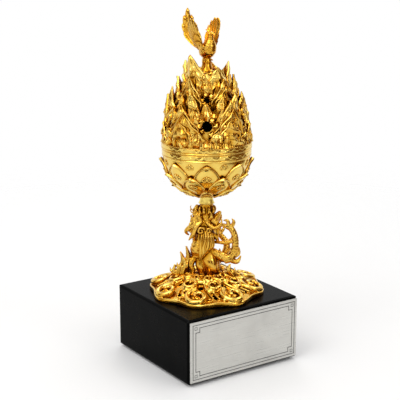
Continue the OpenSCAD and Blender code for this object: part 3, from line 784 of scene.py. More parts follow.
def combed_wave(start_angle, end_angle, end_radius):
    """A swell that runs from the hub out to a scroll."""
    knots = []
    for t in np.linspace(0, 1, 6):
        place = on_foot(mix(HUB_RADIUS + 0.6, end_radius, t), mix(start_angle, end_angle, t**1.4), 0.7)
        knots.append((*place, 0.7 * (0.6 + 0.7 * math.sin(math.pi * (0.15 + 0.8 * t)))))
    return sweep(knots, 30, 8, press=(0, 0, 1))


def pierced_cone(scrolls):
    """The foot's cone with a lobed rim, and which of its cells the holes leave solid."""
    rows, columns = 56, 288
    angle = np.arange(columns) * TAU / columns
    rim = FOOT_RADIUS - 0.2 + RIM_LOBE * np.cos(scrolls * angle)
    radius = np.linspace(0.01, 1, rows)[:, None] * rim[None, :]
    top = foot_height(radius)
    x, y = radius * np.cos(angle), radius * np.sin(angle)
    middle_x = (x[:-1] + np.roll(x, -1, axis=1)[1:]) / 2
    middle_y = (y[:-1] + np.roll(y, -1, axis=1)[1:]) / 2
    solid = np.ones((rows - 1, columns), bool)
    for i in range(scrolls):
        for share, turn, size in PIERCINGS:
            hole = polar(mix(HUB_RADIUS, FOOT_RADIUS, share), TAU * (i + turn) / scrolls, 0)
            solid &= np.hypot(middle_x - hole[0], middle_y - hole[1]) > size
    under = np.maximum(top - FOOT_WALL, PLINTH_TOP)
    return np.stack([x, y, top], axis=-1), np.stack([x, y, under], axis=-1), solid


def solid_sheet(top, under, solid):
    """A closed shell from a wrapped sheet with some of its cells left out."""
    rows, columns = top.shape[:2]
    far = rows * columns
    cells = [cell for cell, kept in zip(sheet_faces(rows, columns, wrap=True), solid.flat) if kept]
    faces = []
    edges = {}
    for cell in cells:
        faces.append(cell)
        faces.append(tuple(n + far for n in reversed(cell)))
        edges.update(dict.fromkeys(zip(cell, cell[1:] + cell[:1])))
    faces += [(b, a, a + far, b + far) for a, b in edges if (b, a) not in edges]
    return np.concatenate([top.reshape(-1, 3), under.reshape(-1, 3)]), faces


def wave_bay(angle, step, chance):
    """What lies between one scroll of the foot and the next: swells, scrolls, combed waves and foam."""
    for orbit, turn, wide, tall in SWELLS:
        radius = orbit + chance.uniform(-0.6, 0.6)
        place = on_foot(radius, angle + step * (turn + chance.uniform(-0.1, 0.1)), 0)
        yield ball(place, (wide, wide, tall * chance.uniform(0.8, 1.2)), 13, 18)
    yield wave_scroll(angle, bead=1.7, size=SCROLL_RADIUS, orbit=SCROLL_ORBIT, lift=1.0)
    yield ball(on_foot(SCROLL_ORBIT, angle, 0.4), (2.0, 2.0, 1.2))
    for j in range(COMBED_WAVES):
        start = angle + step * (0.1 + 0.22 * j)
        end = angle + step * (0.42 + 0.16 * j)
        yield combed_wave(start, end, COMB_END + 0.9 * j)
    for _ in range(FOAM_BEADS):
        spot = angle + step * chance.uniform(0.3, 0.75)
        place = on_foot(chance.uniform(*FOAM_BELT), spot, chance.uniform(0.3, 0.9))
        yield ball(place, [chance.uniform(0.7, 1.3)] * 3, 7, 8)
    yield wave_scroll(angle + 0.5 * step, bead=1.1, size=3.9, orbit=17.0, lift=2.0, hand=-1)


def make_foot(form):
    """The gilt foot: pierced cone, beaded rim, bays of waves, and curls round the hub."""
    scrolls = form.scroll_count
    chance = random.Random(FOOT_SEED)
    rim = []
    for a in np.linspace(0, TAU, 97):
        rim.append((*on_foot(FOOT_RADIUS - 0.9 + RIM_LOBE * math.cos(scrolls * a), a, 0.1), RIM_BEAD))
    shells = [solid_sheet(*pierced_cone(scrolls)), sweep(rim, 288, 10, press=(0, 0, 1))]
    for i in range(scrolls):
        shells += wave_bay(TAU / scrolls * i, TAU / scrolls, chance)
    shells += ring_of_curls(form.curl_count, shift=0.3, bead=0.9, size=2.8, orbit=11.4, lift=2.1)
    shells += ring_of_curls(HUB_CURLS, shift=0, bead=0.8, size=2.3, orbit=4.6, lift=0.2)
    shells.append(ball(on_foot(0, 0, 0.2), (2.2, 2.2, 1.2)))
    made = fused_object("gilt_foot", shells, form.fuse * 1.15)
    floor_at(made, PLINTH_TOP + 0.02)
    return made


# Strands of the flames, drawn in the dragon's directions
FLAMES = [
    [(-13, -1, -5, 2.2), (-15, -1, 1, 1.9), (-12.6, -0.6, 7, 1.5), (-14, -0.4, 13, 0.3)],
    [(-14.4, -1, -1, 1.6), (-17.6, -1.4, 1.6, 1.3), (-17, -1, 6, 0.3)],
    [(12.6, -4, -6, 2.2), (14.4, -4.4, 0, 1.8), (12, -4.2, 4, 1.3), (13, -4, 7, 0.3)],
    [(-10.2, -0.6, -2, 2.0), (-11.4, -0.6, 4, 1.8), (-9.8, -0.4, 10, 1.4), (-11, -0.2, 16, 0.3)],
    [(-11.6, -2.4, -2, 1.8), (-12.8, -2.6, 2, 1.6), (-11.4, -2.2, 6.4, 1.1), (-12.2, -2, 10, 0.3)],
]


def flames():
    """Flames that rise from the foot, each with a grooved back and two side tongues."""
    for knots in FLAMES:
        yield sweep(knots, 28, 14, relief=grooved(5, 0.35, 0))
        x, y, z, r = spline(knots, 5)[2]
        for side in (-1, 1):
            yield sweep([
                (x, y, z, 0.6 * r), (x + side * 1.6, y - 0.5, z + 1.0, 0.5 * r),
                (x + side * 2.0, y - 0.4, z + 3.2, 0.12)], 12, 8)


# Dragon: strands drawn with x to the right, y away from the front, z above the hub and a radius

TRUNK = [
    (7.5, 4.5, 7, 3.2), (4, 5, 6.6, 3.8), (-1.5, 3.6, 8.2, 4.5), (-4, 0.8, 13, 4.8),
    (-2, 0, 20, 4.5), (0.5, 0.4, 27, 4.0), (0, 0, 34, 3.7), (0, 0, 38, 3.6), (0, 0, 39.9, 3.6),
]
UPPER_JAW = [(-1.5, 0, 28, 3.4), (-4.2, -0.4, 32, 3.0), (-5.6, -0.5, 35.8, 1.9), (-4.8, -0.5, 39, 0.7)]
LOWER_JAW = [(1.8, 0, 27, 3.3), (4.4, -0.3, 31, 2.3), (6.4, -0.3, 33.6, 1.4), (7.6, -0.3, 35.4, 0.5)]
COILS = [
    [(-0.5, -0.2, 12, 3.6), (1.8, -1.8, 8.4, 4.0), (2.7, -2.2, 4.4, 3.7), (2.5, -1.8, -0.6, 3.1)],
    [(-3.2, 0.2, 10.5, 2.8), (-3.5, -1.2, 6.4, 2.6), (-2.7, -1.6, 2.6, 2.2), (-2.1, -1.2, -0.6, 1.8)],
]
RAISED_LIMB = [
    (-1, 0, 15, 2.4), (6, -1.4, 11.4, 2.5), (11.4, -2.2, 9.6, 2.4), (14.9, -2.4, 14, 2.1),
    (15.4, -2, 21, 1.8), (13.4, -1.6, 25.8, 1.7), (10.6, -1.6, 27, 1.2),
]
RAISED_CLAWS = [
    [(11.4, -1.6, 26.8, 1.2), (8.4, -2, 28.2, 1.0), (6.6, -2, 26, 0.2)],
    [(12, -1.6, 27, 1.2), (11.2, -2, 30.4, 1.0), (8.8, -2.2, 30.8, 0.2)],
    [(13.2, -1.6, 26.6, 1.2), (14.6, -1.6, 29.6, 1.0), (13.4, -1.8, 31.8, 0.2)],
]
LINK = [(-1, 0, 18.4, 1.0), (6, -1.4, 18.4, 0.9), (10, -1.8, 18.2, 1.1), (14.6, -2, 19.4, 1.0)]
HEEL = [(11.6, -2.2, 9.6, 1.8), (16.4, -1.6, 7.6, 1.4), (18.6, -1, 10.8, 0.3)]
LEGS = [
    [(-7.2, -2.4, -0.6, 1.3), (-7.4, -2, 3, 1.4), (-8.2, -1.2, 7, 1.9), (-3.6, 0.6, 12, 2.4)],
    [(6.9, -2, -0.6, 1.2), (6.2, -1.6, 4, 1.2), (4.8, -1, 9.6, 1.5), (-1, 0.4, 14, 2.0)],
    [(2, 7.2, -0.6, 1.3), (3, 7.8, 3, 1.4), (3, 5, 7, 2.0)],
]
TAIL = [
    (6.4, 4.8, 7, 2.6), (10, 6, 9.6, 2.2), (11, 8, 15, 1.8), (7, 9.4, 20, 1.5),
    (2.4, 9, 23.6, 1.1), (3.6, 7.6, 27.4, 0.3),
]
TAIL_TUFTS = [
    [(10.6, 6.6, 11, 1.6), (14.4, 6, 12, 1.2), (15.6, 5.6, 16, 0.3)],
    [(10.8, 8, 15, 1.3), (14, 8.6, 17.4, 0.9), (13.8, 8.8, 20.4, 0.2)],
    [(7, 9.4, 20, 1.2), (9.4, 10.4, 22.4, 0.8), (9, 10.6, 25, 0.2)],
]
MANE = [
    [(-2.5, -2, 28, 1.7), (-8, -2.6, 27.6, 1.3), (-11, -2.2, 24.6, 1.0), (-9.4, -1.6, 22.4, 0.3)],
    [(-3, 1.6, 24, 1.6), (-7, 2.2, 22, 1.2), (-9.6, 2, 18.4, 0.3)],
    [(-3, -1.4, 25.6, 1.3), (-7.2, -2.6, 23.4, 1.1), (-8.6, -2.4, 20.4, 0.3)],
    [(-3.4, -2, 30.6, 1.2), (-7.4, -1.6, 31.6, 0.9), (-8.6, -1.2, 29.4, 0.3)],
    [(2.5, -1.4, 24, 1.4), (5.4, -2.2, 21, 1.1), (6.6, -2, 17.6, 0.3)],
    [(2.6, -2.2, 28, 1.3), (6.2, -2.6, 27.6, 1.0), (7.8, -2.4, 25.6, 0.3)],
    [(2, 2.6, 26, 1.6), (4.4, 5.4, 21, 1.4), (3.6, 6.8, 16, 0.4)],
    [(-1, 3, 27, 1.5), (-2.2, 5.8, 22, 1.3), (-1.4, 7, 17, 0.4)],
    [(0.5, 3.4, 30, 1.4), (1.2, 6, 26, 1.1), (0.6, 7.4, 22, 0.4)],
    [(-2.4, -1.6, 33, 1.5), (-6.2, -2.4, 30.4, 1.5), (-8.8, -2.4, 26.4, 1.2), (-8.0, -2, 23.6, 0.4)],
    [(-2.4, -2.4, 30.4, 1.6), (-5.6, -3.4, 27.2, 1.5), (-7.0, -3.2, 22.8, 1.2), (-6.0, -2.8, 19.4, 0.3)],
    [(-2.8, 0.4, 21, 1.6), (-6.2, -0.6, 18.6, 1.3), (-7.6, -0.8, 15, 0.3)],
    [(2.4, -2, 31.4, 1.4), (5.2, -2.8, 28.6, 1.3), (6.2, -2.8, 24.6, 1.0), (5.2, -2.6, 21.4, 0.3)],
]
BEARD_COUNT = 9
# Places along the trunk, and those that carry a fin
FIN_PLACES = 20
FIN_ROOTS = range(3, 17)
# Strands on both sides of the head: x, spread to the side, shift of both sides, z and radius
EYE_FOLD = [
    (-2.2, 2.5, -0.2, 30.6, 0.5), (-4.6, 3.3, -0.3, 31.2, 0.5), (-5.3, 3.1, -0.3, 33.2, 0.42),
    (-3.4, 2.9, -0.2, 34.8, 0.2),
]
BROW = [(-3, 2.6, 0, 31, 1.4), (-4, 3.2, 0, 33.4, 1.0), (-3.2, 3, 0, 35.4, 0.3)]
HORN = [(0, 2.6, 0, 30, 1.3), (4, 5, 0, 27.4, 1.1), (7.4, 5.4, 0, 29.4, 0.8), (8.2, 4.8, 0, 32.4, 0.2)]
WHISKER = [
    (-5.2, 1.5, -0.5, 36.2, 0.5), (-7.4, 2.6, -0.5, 35.2, 0.42), (-8.6, 3.0, -0.5, 36.8, 0.32),
    (-8.0, 3.0, -0.4, 38.2, 0.15),
]
EAR = [(1.2, 3.0, 0, 31, 1.1), (2.6, 4.8, 0, 33.2, 0.9), (2.2, 5.0, 0, 36.2, 0.2)]
# Leaves round the neck tube: radius of their circle, z and radius
LEAF_COUNT = 10
LEAF = [(2.6, 34.4, 1.1), (4.2, 35.6, 0.9), (4.5, 37.6, 0.6), (3.6, 38.8, 0.25)]
# Places along a jaw, and those that carry a tooth
JAW_PLACES = 9
TOOTH_ROOTS = range(3, 8)
# Teeth of each jaw: route, way inwards, reach, shift to the side, rise and radius
TEETH = [(UPPER_JAW, 1, 1.15, -0.4, 0.2, 0.5), (LOWER_JAW, -1, 1.1, -0.3, 0.5, 0.45)]
# Throat curls: x of the middle and size
THROAT_CURLS = [(-2.9, 2.0), (1.2, 1.5)]
# Toes of a standing leg: turn from its heading and reach, and shares of that reach with z and radius
TOE_SPREAD = [(-0.95, 3.1), (0, 3.1), (0.95, 3.1), (math.pi, 2.0)]
TOE = [(0, 1.3, 1.0), (0.45, 1.2, 0.95), (0.8, 0.6, 0.75), (1.15, 0.1, 0.2)]


def beard():
    """Strands that hang from the throat and sweep to a hook at their ends, and curls above them."""
    for i in range(BEARD_COUNT):
        t = i / (BEARD_COUNT - 1)
        x = mix(-3.9, 3.9, t)
        front = -3.6 - 1.6 * math.cos(math.pi * (t - 0.5)) - (0.55 if i % 2 else 0)
        drop = mix(9.0, 13.4, t) + (0.9 if i % 2 else 0)
        wave = 0.6 * math.sin(5 * t)
        yield sweep([
            (0.8 * x, front + 2.2, 27.2 - 0.4 * abs(x), 0.7), (x + wave, front, 22.5, 0.74),
            (0.86 * x - wave - 0.2, front - 0.5, 17.5, 0.68), (0.62 * x - 1.0, front - 0.2, drop + 1.4, 0.54),
            (0.5 * x - 2.8, front + 0.2, drop - 0.6, 0.16)], 48, 12, relief=grooved(2, 0.09))
    for middle, size in THROAT_CURLS:
        yield sweep([
            (middle + x, -4.6 - 0.8 * t, 25.6 + z, mix(0.72, 0.45, t))
            for t, x, z in winding(12, start=0.05, turns=1.2, outer=size, inner=0.2 * size)], 40, 9)


def dorsal_fins():
    """A row of small fins down the dragon's back."""
    path = spline(TRUNK, FIN_PLACES)
    for i in FIN_ROOTS:
        root = path[i, :3] + 0.75 * path[i, 3] * np.array([0.15 * math.sin(i), 1.0, 0.25])
        tip = root + np.array([0.0, 2.2, 1.6])
        middle = (root + tip) / 2 + np.array([0.0, 0.5, -0.3])
        yield sweep([(*root, 1.2), (*middle, 0.8), (*tip, 0.15)], 8, 8, press=(1, 0, 0), flat=0.5)


def teeth(side):
    """Teeth along one side of both jaws."""
    for i in TOOTH_ROOTS:
        for jaw, inward, reach, shift, rise, thick in TEETH:
            x, _, z, r = spline(jaw, JAW_PLACES)[i]
            yield sweep([
                (x + inward * 0.5 * r, side * 0.55 * r + shift, z, thick),
                (x + inward * (reach * r + 0.5), side * 0.5 * r + shift, z + rise, 0.12)], 5, 6)


def side_strand(side, knots, rings, sides, **shape):
    """A strand on one side of the head."""
    placed = [(x, side * spread + shift, z, r) for x, spread, shift, z, r in knots]
    return sweep(placed, rings, sides, **shape)


def head():
    """Jaws that hold the neck tube, with teeth, eyes, brows, horns, whiskers, ears and a ring of leaves."""
    yield sweep(UPPER_JAW, 30, 16, relief=lambda along, angle: 0.22 * np.cos(4 * angle) * np.sin(2.2 * along))
    yield sweep(LOWER_JAW, 30, 16, relief=grooved(4, 0.18, 0))
    for side in (-1, 1):
        yield from teeth(side)
        yield ball((-3.9, side * 2.7 - 0.3, 32.2), (1.05, 1.0, 1.05))
        yield ball((-3.95, side * 3.5 - 0.3, 32.3), (0.5, 0.35, 0.5), 7, 8)
        yield side_strand(side, EYE_FOLD, 20, 8)
        yield side_strand(side, BROW, 12, 8)
        yield side_strand(side, HORN, 30, 10, relief=lambda along, angle: 0.12 * np.sin(6 * along))
        yield side_strand(side, WHISKER, 20, 7)
        yield side_strand(side, EAR, 14, 10, flat=0.5, relief=grooved(6, 0.1, 0))
    for angle in np.linspace(0, TAU, LEAF_COUNT, endpoint=False):
        yield sweep([(*polar(out, angle, z), r) for out, z, r in LEAF], 14, 8)


def claw_foot(leg):
    """Knuckled toes with claws under a leg."""
    x, y = leg[0][:2]
    heading = math.atan2(y, x)
    for offset, reach in TOE_SPREAD:
        c, s = reach * math.cos(heading + offset), reach * math.sin(heading + offset)
        yield sweep([(x + share * c, y + share * s, z, r) for share, z, r in TOE], 16, 8)


def elbow_tufts(place, heading):
    """Three flame locks behind a joint."""
    x, y, z = place
    for i in range(3):
        lift = 1.2 + 1.1 * i
        yield sweep([
            (x, y, z + 0.6 * i, 1.0), (x + heading * 2.2, y + 0.3, z + lift, 0.75),
            (x + heading * (3.1 - 0.4 * i), y + 0.4, z + lift + 1.9, 0.15)], 12, 8)


def raised_limb():
    """The raised foreleg with its claw, heel spur, tufts and link to the chest."""
    yield sweep(RAISED_LIMB, 90, 22, relief=scales(11, 1.5, 0.28))
    yield sweep(LINK, 24, 10)
    yield sweep(HEEL, 20, 10)
    for claw in RAISED_CLAWS:
        yield sweep(claw, 18, 8)
    yield from elbow_tufts((15.2, -2.0, 10.5), 1)
    for t in np.linspace(0, 1, 5):
        x = mix(9.4, 13.0, t)
        yield sweep([
            (x, -3.4, mix(10.4, 11.0, t), 0.9), (x + 0.4, -4.2, mix(8.6, 9.2, t), 0.7),
            (x + 1.2, -4.0, mix(7.0, 7.8, t), 0.2)], 12, 8)
    yield ball((10.0, -1.8, 18.3), (0.9, 1.3, 1.4))


def standing_legs():
    """Scaled legs with claws and tufts at their knees."""
    for leg in LEGS:
        yield sweep(leg, 60, 18, relief=scales(9, 1.2, 0.2))
        yield from claw_foot(leg)
        knee = leg[2]
        yield from elbow_tufts(knee[:3], math.copysign(1, knee[0]))


def mane():
    """Grooved locks, each with a small curl beside it."""
    for lock in MANE:
        x, y, z, r = lock[1]
        out = 0.9 * np.sign(x + 0.1)
        yield sweep(lock, 34, 16, relief=grooved(5, 0.16))
        yield sweep([
            (x, y, z, 0.8 * r), (x + out, y - 0.3, z + 1.5, 0.5 * r), (x, y - 0.3, z + 2.4, 0.2)], 14, 8)


def trunk():
    """Scaled trunk and tail, with the tail's tufts, coils at the front and fins down the back."""
    yield sweep(TRUNK, 220, 44, relief=scales(15, 1.7, 0.42))
    yield sweep(TAIL, 110, 24, relief=scales(11, 1.3, 0.28))
    for tuft in TAIL_TUFTS:
        yield sweep(tuft, 18, 10, relief=grooved(4, 0.1))
    for coil in COILS:
        yield sweep(coil, 60, 32)
    yield from dorsal_fins()


def dragon_object(name, shells, form, loose=()):
    """A fused casting drawn in the dragon's directions, turned to its place on the hub."""
    turn, place = rotation("Z", DRAGON_DEGREES), (0, 0, HUB_TOP)
    strands, crisp = ([moved(s, turn, place) for s in group] for group in (shells, loose))
    return fused_object(name, strands, form.fuse, loose=crisp)


# Neck and bowl

BOLT_HOLE = 1.75
SEAT_RADIUS = 4.1
SEAT_RISE = 0.8
BOSS_RADIUS = 4.6
NECK_WAIST = 3.55
NECK_FLARE = 0.75
BOWL_WALL = 1.6
BAND_PROUD = 0.4
BAND_HEIGHT = 4.0
BAND_LOW = MOUTH - BAND_HEIGHT
BOWL_RADIUS = BAND_RADIUS - BAND_PROUD
MOUTH_RISE = 2.6
BOWL_CENTRE = MOUTH - MOUTH_RISE
# Steps of the bowl's band: shares of its height and of how far it stands out
BAND_STEPS = [
    (0.02, 0.0), (0.05, 1.0), (0.16, 1.0), (0.19, 0.0), (0.27, 0.0), (0.3, 0.8), (0.82, 0.8), (0.85, 0.1),
    (0.9, 0.1), (0.93, 1.0), (0.98, 1.0), (1.0, 0.8),
]
# The belt of the band that carries the running wave, in shares of its height, and the parts that it is cut in
WAVE_BELT = (0.28, 0.83)
WAVE_PARTS = 14
# Rows of petals: degrees of latitude of the widest place and of the tip, turn in petals, gap and node
PETAL_ROWS = [
    (-34, -5, 0.0, 0.1, "petals_upper"), (-46, -21, 0.5, 0.15, "petals_middle"),
    (-62, -42, 0.0, 0.8, "petals_lower"),
]
PETAL_STEP = 0.4
PETAL_RIM = 1.6


def make_neck():
    """The plain waisted tube under the bowl."""
    profile = [(BOLT_HOLE, NECK_LOW)]
    for t in np.linspace(0, 1, 40):
        profile.append((NECK_WAIST + NECK_FLARE * (2 * t - 1) ** 2, mix(NECK_LOW, NECK_HIGH, t)))
    return mesh_object("gilt_neck", [lathe(profile + [(BOLT_HOLE, NECK_HIGH)], 96)])


def bowl_arc(radius, start, end, steps):
    """Points of a round wall about the bowl's centre, from one angle to another."""
    return [
        (radius * math.cos(a), BOWL_CENTRE + radius * math.sin(a)) for a in np.linspace(start, end, steps)]


def bowl_profile():
    """The bowl's wall: boss, round outside, grooved band, mouth and round inside."""
    start = math.asin(-math.sqrt(1 - (BOSS_RADIUS / BOWL_RADIUS) ** 2))
    profile = [(BOLT_HOLE, BOSS_LOW), (BOSS_RADIUS - 0.2, BOSS_LOW), (BOSS_RADIUS, BOSS_LOW + 0.2)]
    profile += bowl_arc(BOWL_RADIUS, start, math.asin((BAND_LOW - BOWL_CENTRE) / BOWL_RADIUS), 60)
    for share, proud in BAND_STEPS:
        profile.append((BAND_RADIUS - BAND_PROUD * (1 - proud), BAND_LOW + BAND_HEIGHT * share))
    inner = BOWL_RADIUS - BOWL_WALL
    seat = -math.asin(math.sqrt(1 - (SEAT_RADIUS / inner) ** 2))
    profile += bowl_arc(inner, math.asin(MOUTH_RISE / inner), seat, 50)
    seat_height = BOWL_CENTRE - inner + SEAT_RISE
    return profile + [(SEAT_RADIUS, seat_height), (BOLT_HOLE, seat_height)]


def wave_line(middle, swing, waves, width, height):
    """A raised running wave round a band."""
    def relief(radius, level, angle):
        crest = middle + swing * np.sin(waves * angle)
        near = np.clip(1 - np.abs(level - crest) / width, 0, 1)
        return height * near * (radius > BOWL_RADIUS)
    return relief


def make_bowl():
    """The gilt bowl with a running wave on its band."""
    profile = np.array(bowl_profile())
    start, end = (BAND_LOW + BAND_HEIGHT * share for share in WAVE_BELT)
    fine = []
    for a, b in zip(profile[:-1], profile[1:]):
        on_belt = a[0] > BOWL_RADIUS and a[1] > start and b[1] < end
        parts = WAVE_PARTS if on_belt else 1
        fine += [tuple(mix(a, b, t)) for t in np.linspace(0, 1, parts, endpoint=False)]
    fine.append(tuple(profile[-1]))
    relief = wave_line(MOUTH - 0.44 * BAND_HEIGHT, swing=0.5, waves=36, width=0.4, height=0.14)
    return mesh_object("gilt_bowl", [lathe(fine, 432, relief)])


# Distances in from the edge of a petal or hill, and the relief of its edge there
EDGE_STEPS = np.array([0, 0.1, 0.42, 0.52, 0.68, 0.78, 1.02, 1.14, 1.5])
RIM_RELIEF = np.array([0.0, 0.34, 0.36, -0.16, -0.16, 0.2, 0.2, -0.06, 0.0])
CREST_RELIEF = np.array([0.0, 0.26, 0.36, 0.32, 0.18, 0.06, -0.05, -0.04, 0.0])


def strip_grid(half, inner_count, relief, spread=1.0):
    """Offsets across a strip of varying half width, fine along its edges, and its edge relief there."""
    scale = np.minimum(spread, half / (1.3 * EDGE_STEPS[-1]))[:, None]
    steps = EDGE_STEPS[None, :] * scale
    half = half[:, None]
    rest = half - steps[:, -1:]
    inner = steps[:, -1:] + rest * np.linspace(0, 1, inner_count + 1)[None, 1:]
    left = np.concatenate([steps, inner], axis=1) - half
    offset = np.concatenate([left, -left[:, -2::-1]], axis=1)
    return offset, np.interp((half - np.abs(offset)) / scale, EDGE_STEPS, relief)


def petal_half(row, y, petals):
    """Half the width of a petal at a height above its widest place."""
    widest, tip, _, gap, _ = PETAL_ROWS[row]
    reach = BOWL_RADIUS * math.sin(math.radians(tip - widest))
    half = BOWL_RADIUS * math.cos(math.radians(widest)) * math.sin(math.pi / petals) - gap
    bow = (reach * reach + half * half) / (2 * half)
    return np.maximum(np.sqrt(np.maximum(bow * bow - y * y, 0)) - (bow - half), 0.05), reach


def petal_frame(row, azimuth):
    """A petal's own right, up and outward directions."""
    latitude = math.radians(PETAL_ROWS[row][0])
    out = polar(math.cos(latitude), azimuth, math.sin(latitude))
    right = np.array([-math.sin(azimuth), math.cos(azimuth), 0])
    return right, np.cross(out, right), out


def on_petal(axes, x, y, radius):
    """A place over the bowl in a petal's own directions."""
    right, up, out = axes
    deep = np.sqrt(np.maximum(radius**2 - x**2 - y**2, 0))
    place = x[..., None] * right + y[..., None] * up + deep[..., None] * out
    return place + np.array([0, 0, BOWL_CENTRE])


def petal(row, azimuth, form):
    """One petal: a plate with a rim, a groove and a second ridge, whose tip curls outwards."""
    share = 1 - (1 - np.linspace(0, 1, 26)) ** 1.5
    _, reach = petal_half(row, np.zeros(1), form.petal_count)
    y = mix(-0.55 * reach, reach * 0.985, share)
    half, _ = petal_half(row, y, form.petal_count)
    offset, relief = strip_grid(half, 5, RIM_RELIEF)
    rows = np.repeat(y[:, None], offset.shape[1], axis=1)
    curl = form.petal_lift / MM * ramp(0.62, 1.0, rows / reach) ** 1.5
    crown = 0.5 * (1 - (offset / half[:, None]) ** 2) * ramp(-0.4, 0.4, rows / reach)
    radius = BOWL_RADIUS + PETAL_STEP * (row + 1) + PETAL_RIM * relief + curl + crown
    axes = petal_frame(row, azimuth)
    front = on_petal(axes, offset, rows, radius)
    back = on_petal(axes, offset, rows, BOWL_RADIUS - 0.15 + 0.85 * curl)
    return pillow(front, back)


def petal_cloud(axes, middle, top, size):
    """A small cloud in low relief: two curls about a bead."""
    yield ball(on_petal(axes, np.array(0.0), np.array(middle + 1.3 * size), top), [0.5 * size] * 3, 7, 9)
    for side in (-1, 1):
        knots = []
        for t, x, y in winding(14, start=0.25, turns=1.3, outer=1.15 * size, inner=0.3 * size):
            place = on_petal(axes, np.array(side * (1.15 * size + x)), np.array(middle + y), top)
            knots.append((*place, size * mix(0.36, 0.26, t)))
        yield sweep(knots, 36, 7, press=axes[2])


def ring_of_petals(row, form):
    """A row of petals round the bowl, each with a cloud, and clouds between the tips of the upper row."""
    turn = PETAL_ROWS[row][2]
    _, reach = petal_half(row, np.zeros(1), form.petal_count)
    step = TAU / form.petal_count
    top = BOWL_RADIUS + PETAL_STEP * (row + 1) + 0.6
    for i in range(form.petal_count):
        azimuth = FACING + step * (i + turn)
        yield petal(row, azimuth, form)
        yield from petal_cloud(petal_frame(row, azimuth), 0.3 * reach, top, size=1.25)
        if row == 0:
            between = petal_frame(row, azimuth + step / 2)
            yield from petal_cloud(between, 0.82 * reach, BOWL_RADIUS + 0.1, size=1.05)


# Lid

TIERS = 5
TIER_RISE = 7.0
DOME_SWELL = 1.4
DOME_TOP_RADIUS = 5.2
RING_COUNTS = [15, 5, 15, 5, 5]
RING_TURNS = [0, 0, 0.5, 0, 0]
HILL_SHARES = [[0.62, 1.1, 0.62], [1.25], [1.0, 1.0, 0.7], [1.1], [0.7, 0.75, 0.9, 1.0, 1.05]]
TOP_EXTRA = 3.0
# How the hills' heights vary: the share, and the degrees from hill to hill and from ring to ring
VARY_SHARE = 0.1
VARY_BY_HILL = 137.5
VARY_BY_RING = 70
HILL_SEED = 40
# Smoke holes by ring: half the gap between its hills, and the hole's height and radius
HOLE_GAPS = {1: 3.3, 3: 2.0}
HOLE_PLACES = {1: (3.65, 2.75), 3: (2.4, 1.5)}
HOLE_ROCKS = 6
HOLES = 5
INNER_ROCKS = 11
HILL_STAND = 0.75
VALLEY = 4.4
ROOT = 2.6
# Crest lines: how fast a hill narrows at first, and towards its tip
ROUND_CREST = (1.8, 0.78)
STRAIGHT_CREST = (1.15, 0.95)
TIP_HALF = 0.45
TIP_ROUND = 0.4
# How far the small hills stand before their ring and how far steep hills bulge, from the lowest ring up
FRONT_STAND = [0.3, 1.2, 1.2, 1.2, 1.2]
BULGE = [1.2, 2.4, 2.4, 2.4, 2.4]
FIGURE_STAND = 0.8
# Smaller peaks along a broad hill's flanks: share across, share of its height
FLANK_PEAKS = [(-0.4, 0.72), (0.46, 0.66)]
# Ridges nested before a broad hill: share of its size, share across, how far they stand out and bulge
NESTED_RIDGES = [(0.72, 0.05, 0.8, 1.2), (0.45, -0.06, 1.6, 1.1)]
EDGE_SPREAD = 1.8
HILL_LEAN = 0.7
SHOULDER = 0.1
SHOULDER_WAVES = 1.5
SPUR_SHARE = 0.2
# Distance between the folds of a hill's face, and their height
HILL_FOLDS = (5.0, 2.6)
FIGURE_SHARE = 0.4
SPIGOT_PLAY = 0.3
SPIGOT_WALL = 1.0
# Steps of the lid's band: share of its height and how far they stand out; the fine ones carry its wave
COLLAR_STEPS = [
    (0.0, -0.2), (0.05, 0.0), (0.14, 0.0), (0.18, -0.35), (0.26, -0.35), (0.3, 0.0),
    *[(share, -0.08) for share in np.linspace(0.32, 0.84, 16)],
    (0.86, -0.3), (0.91, -0.3), (0.94, 0.0), (0.98, 0.0), (1.0, -0.15),
]


def tier_height(k):
    """Height of a ring's foot."""
    return COLLAR_TOP + k * TIER_RISE


def tier_radius(k):
    """Radius of the dome at a ring's foot."""
    share = min(1, k * TIER_RISE / (DOME_TOP - COLLAR_TOP))
    return DOME_TOP_RADIUS + (DOME_RADIUS - DOME_TOP_RADIUS) * (1 - share**DOME_SWELL)


def make_collar():
    """The lid's band and spigot, with grooves and a running wave."""
    spigot = math.sqrt((BOWL_RADIUS - BOWL_WALL) ** 2 - MOUTH_RISE**2) - SPIGOT_PLAY
    tall = COLLAR_TOP - MOUTH
    profile = [
        (spigot - SPIGOT_WALL, COLLAR_LOW), (spigot - 0.2, COLLAR_LOW), (spigot, COLLAR_LOW + 0.2),
        (spigot, MOUTH + 0.02),
    ]
    profile += [(COLLAR_RADIUS + proud, MOUTH + tall * share) for share, proud in COLLAR_STEPS]
    profile.append((spigot - SPIGOT_WALL, COLLAR_TOP))
    relief = wave_line(MOUTH + 0.58 * tall, swing=0.4, waves=40, width=0.36, height=0.13)
    return mesh_object("gilt_collar", [lathe(profile, 480, relief)])


def hole_room(ring, azimuth):
    """Free distance along a ring to the smoke holes on each side of a place."""
    if ring not in HOLE_GAPS:
        return math.inf, math.inf
    pitch = TAU / HOLES
    away = (azimuth - FACING) % pitch
    round_ring = tier_radius(ring) + HILL_STAND
    return away * round_ring - HOLE_GAPS[ring], (pitch - away) * round_ring - HOLE_GAPS[ring]


def hill_root(ring, azimuth, half):
    """How far a hill reaches down below its ring's foot, short of a smoke hole under it."""
    if ring == 0:
        return 0.3
    if ring - 1 in HOLE_PLACES and min(hole_room(ring - 1, azimuth)) < half:
        height, radius = HOLE_PLACES[ring - 1]
        return min(ROOT, TIER_RISE - height - radius - 0.3)
    return ROOT


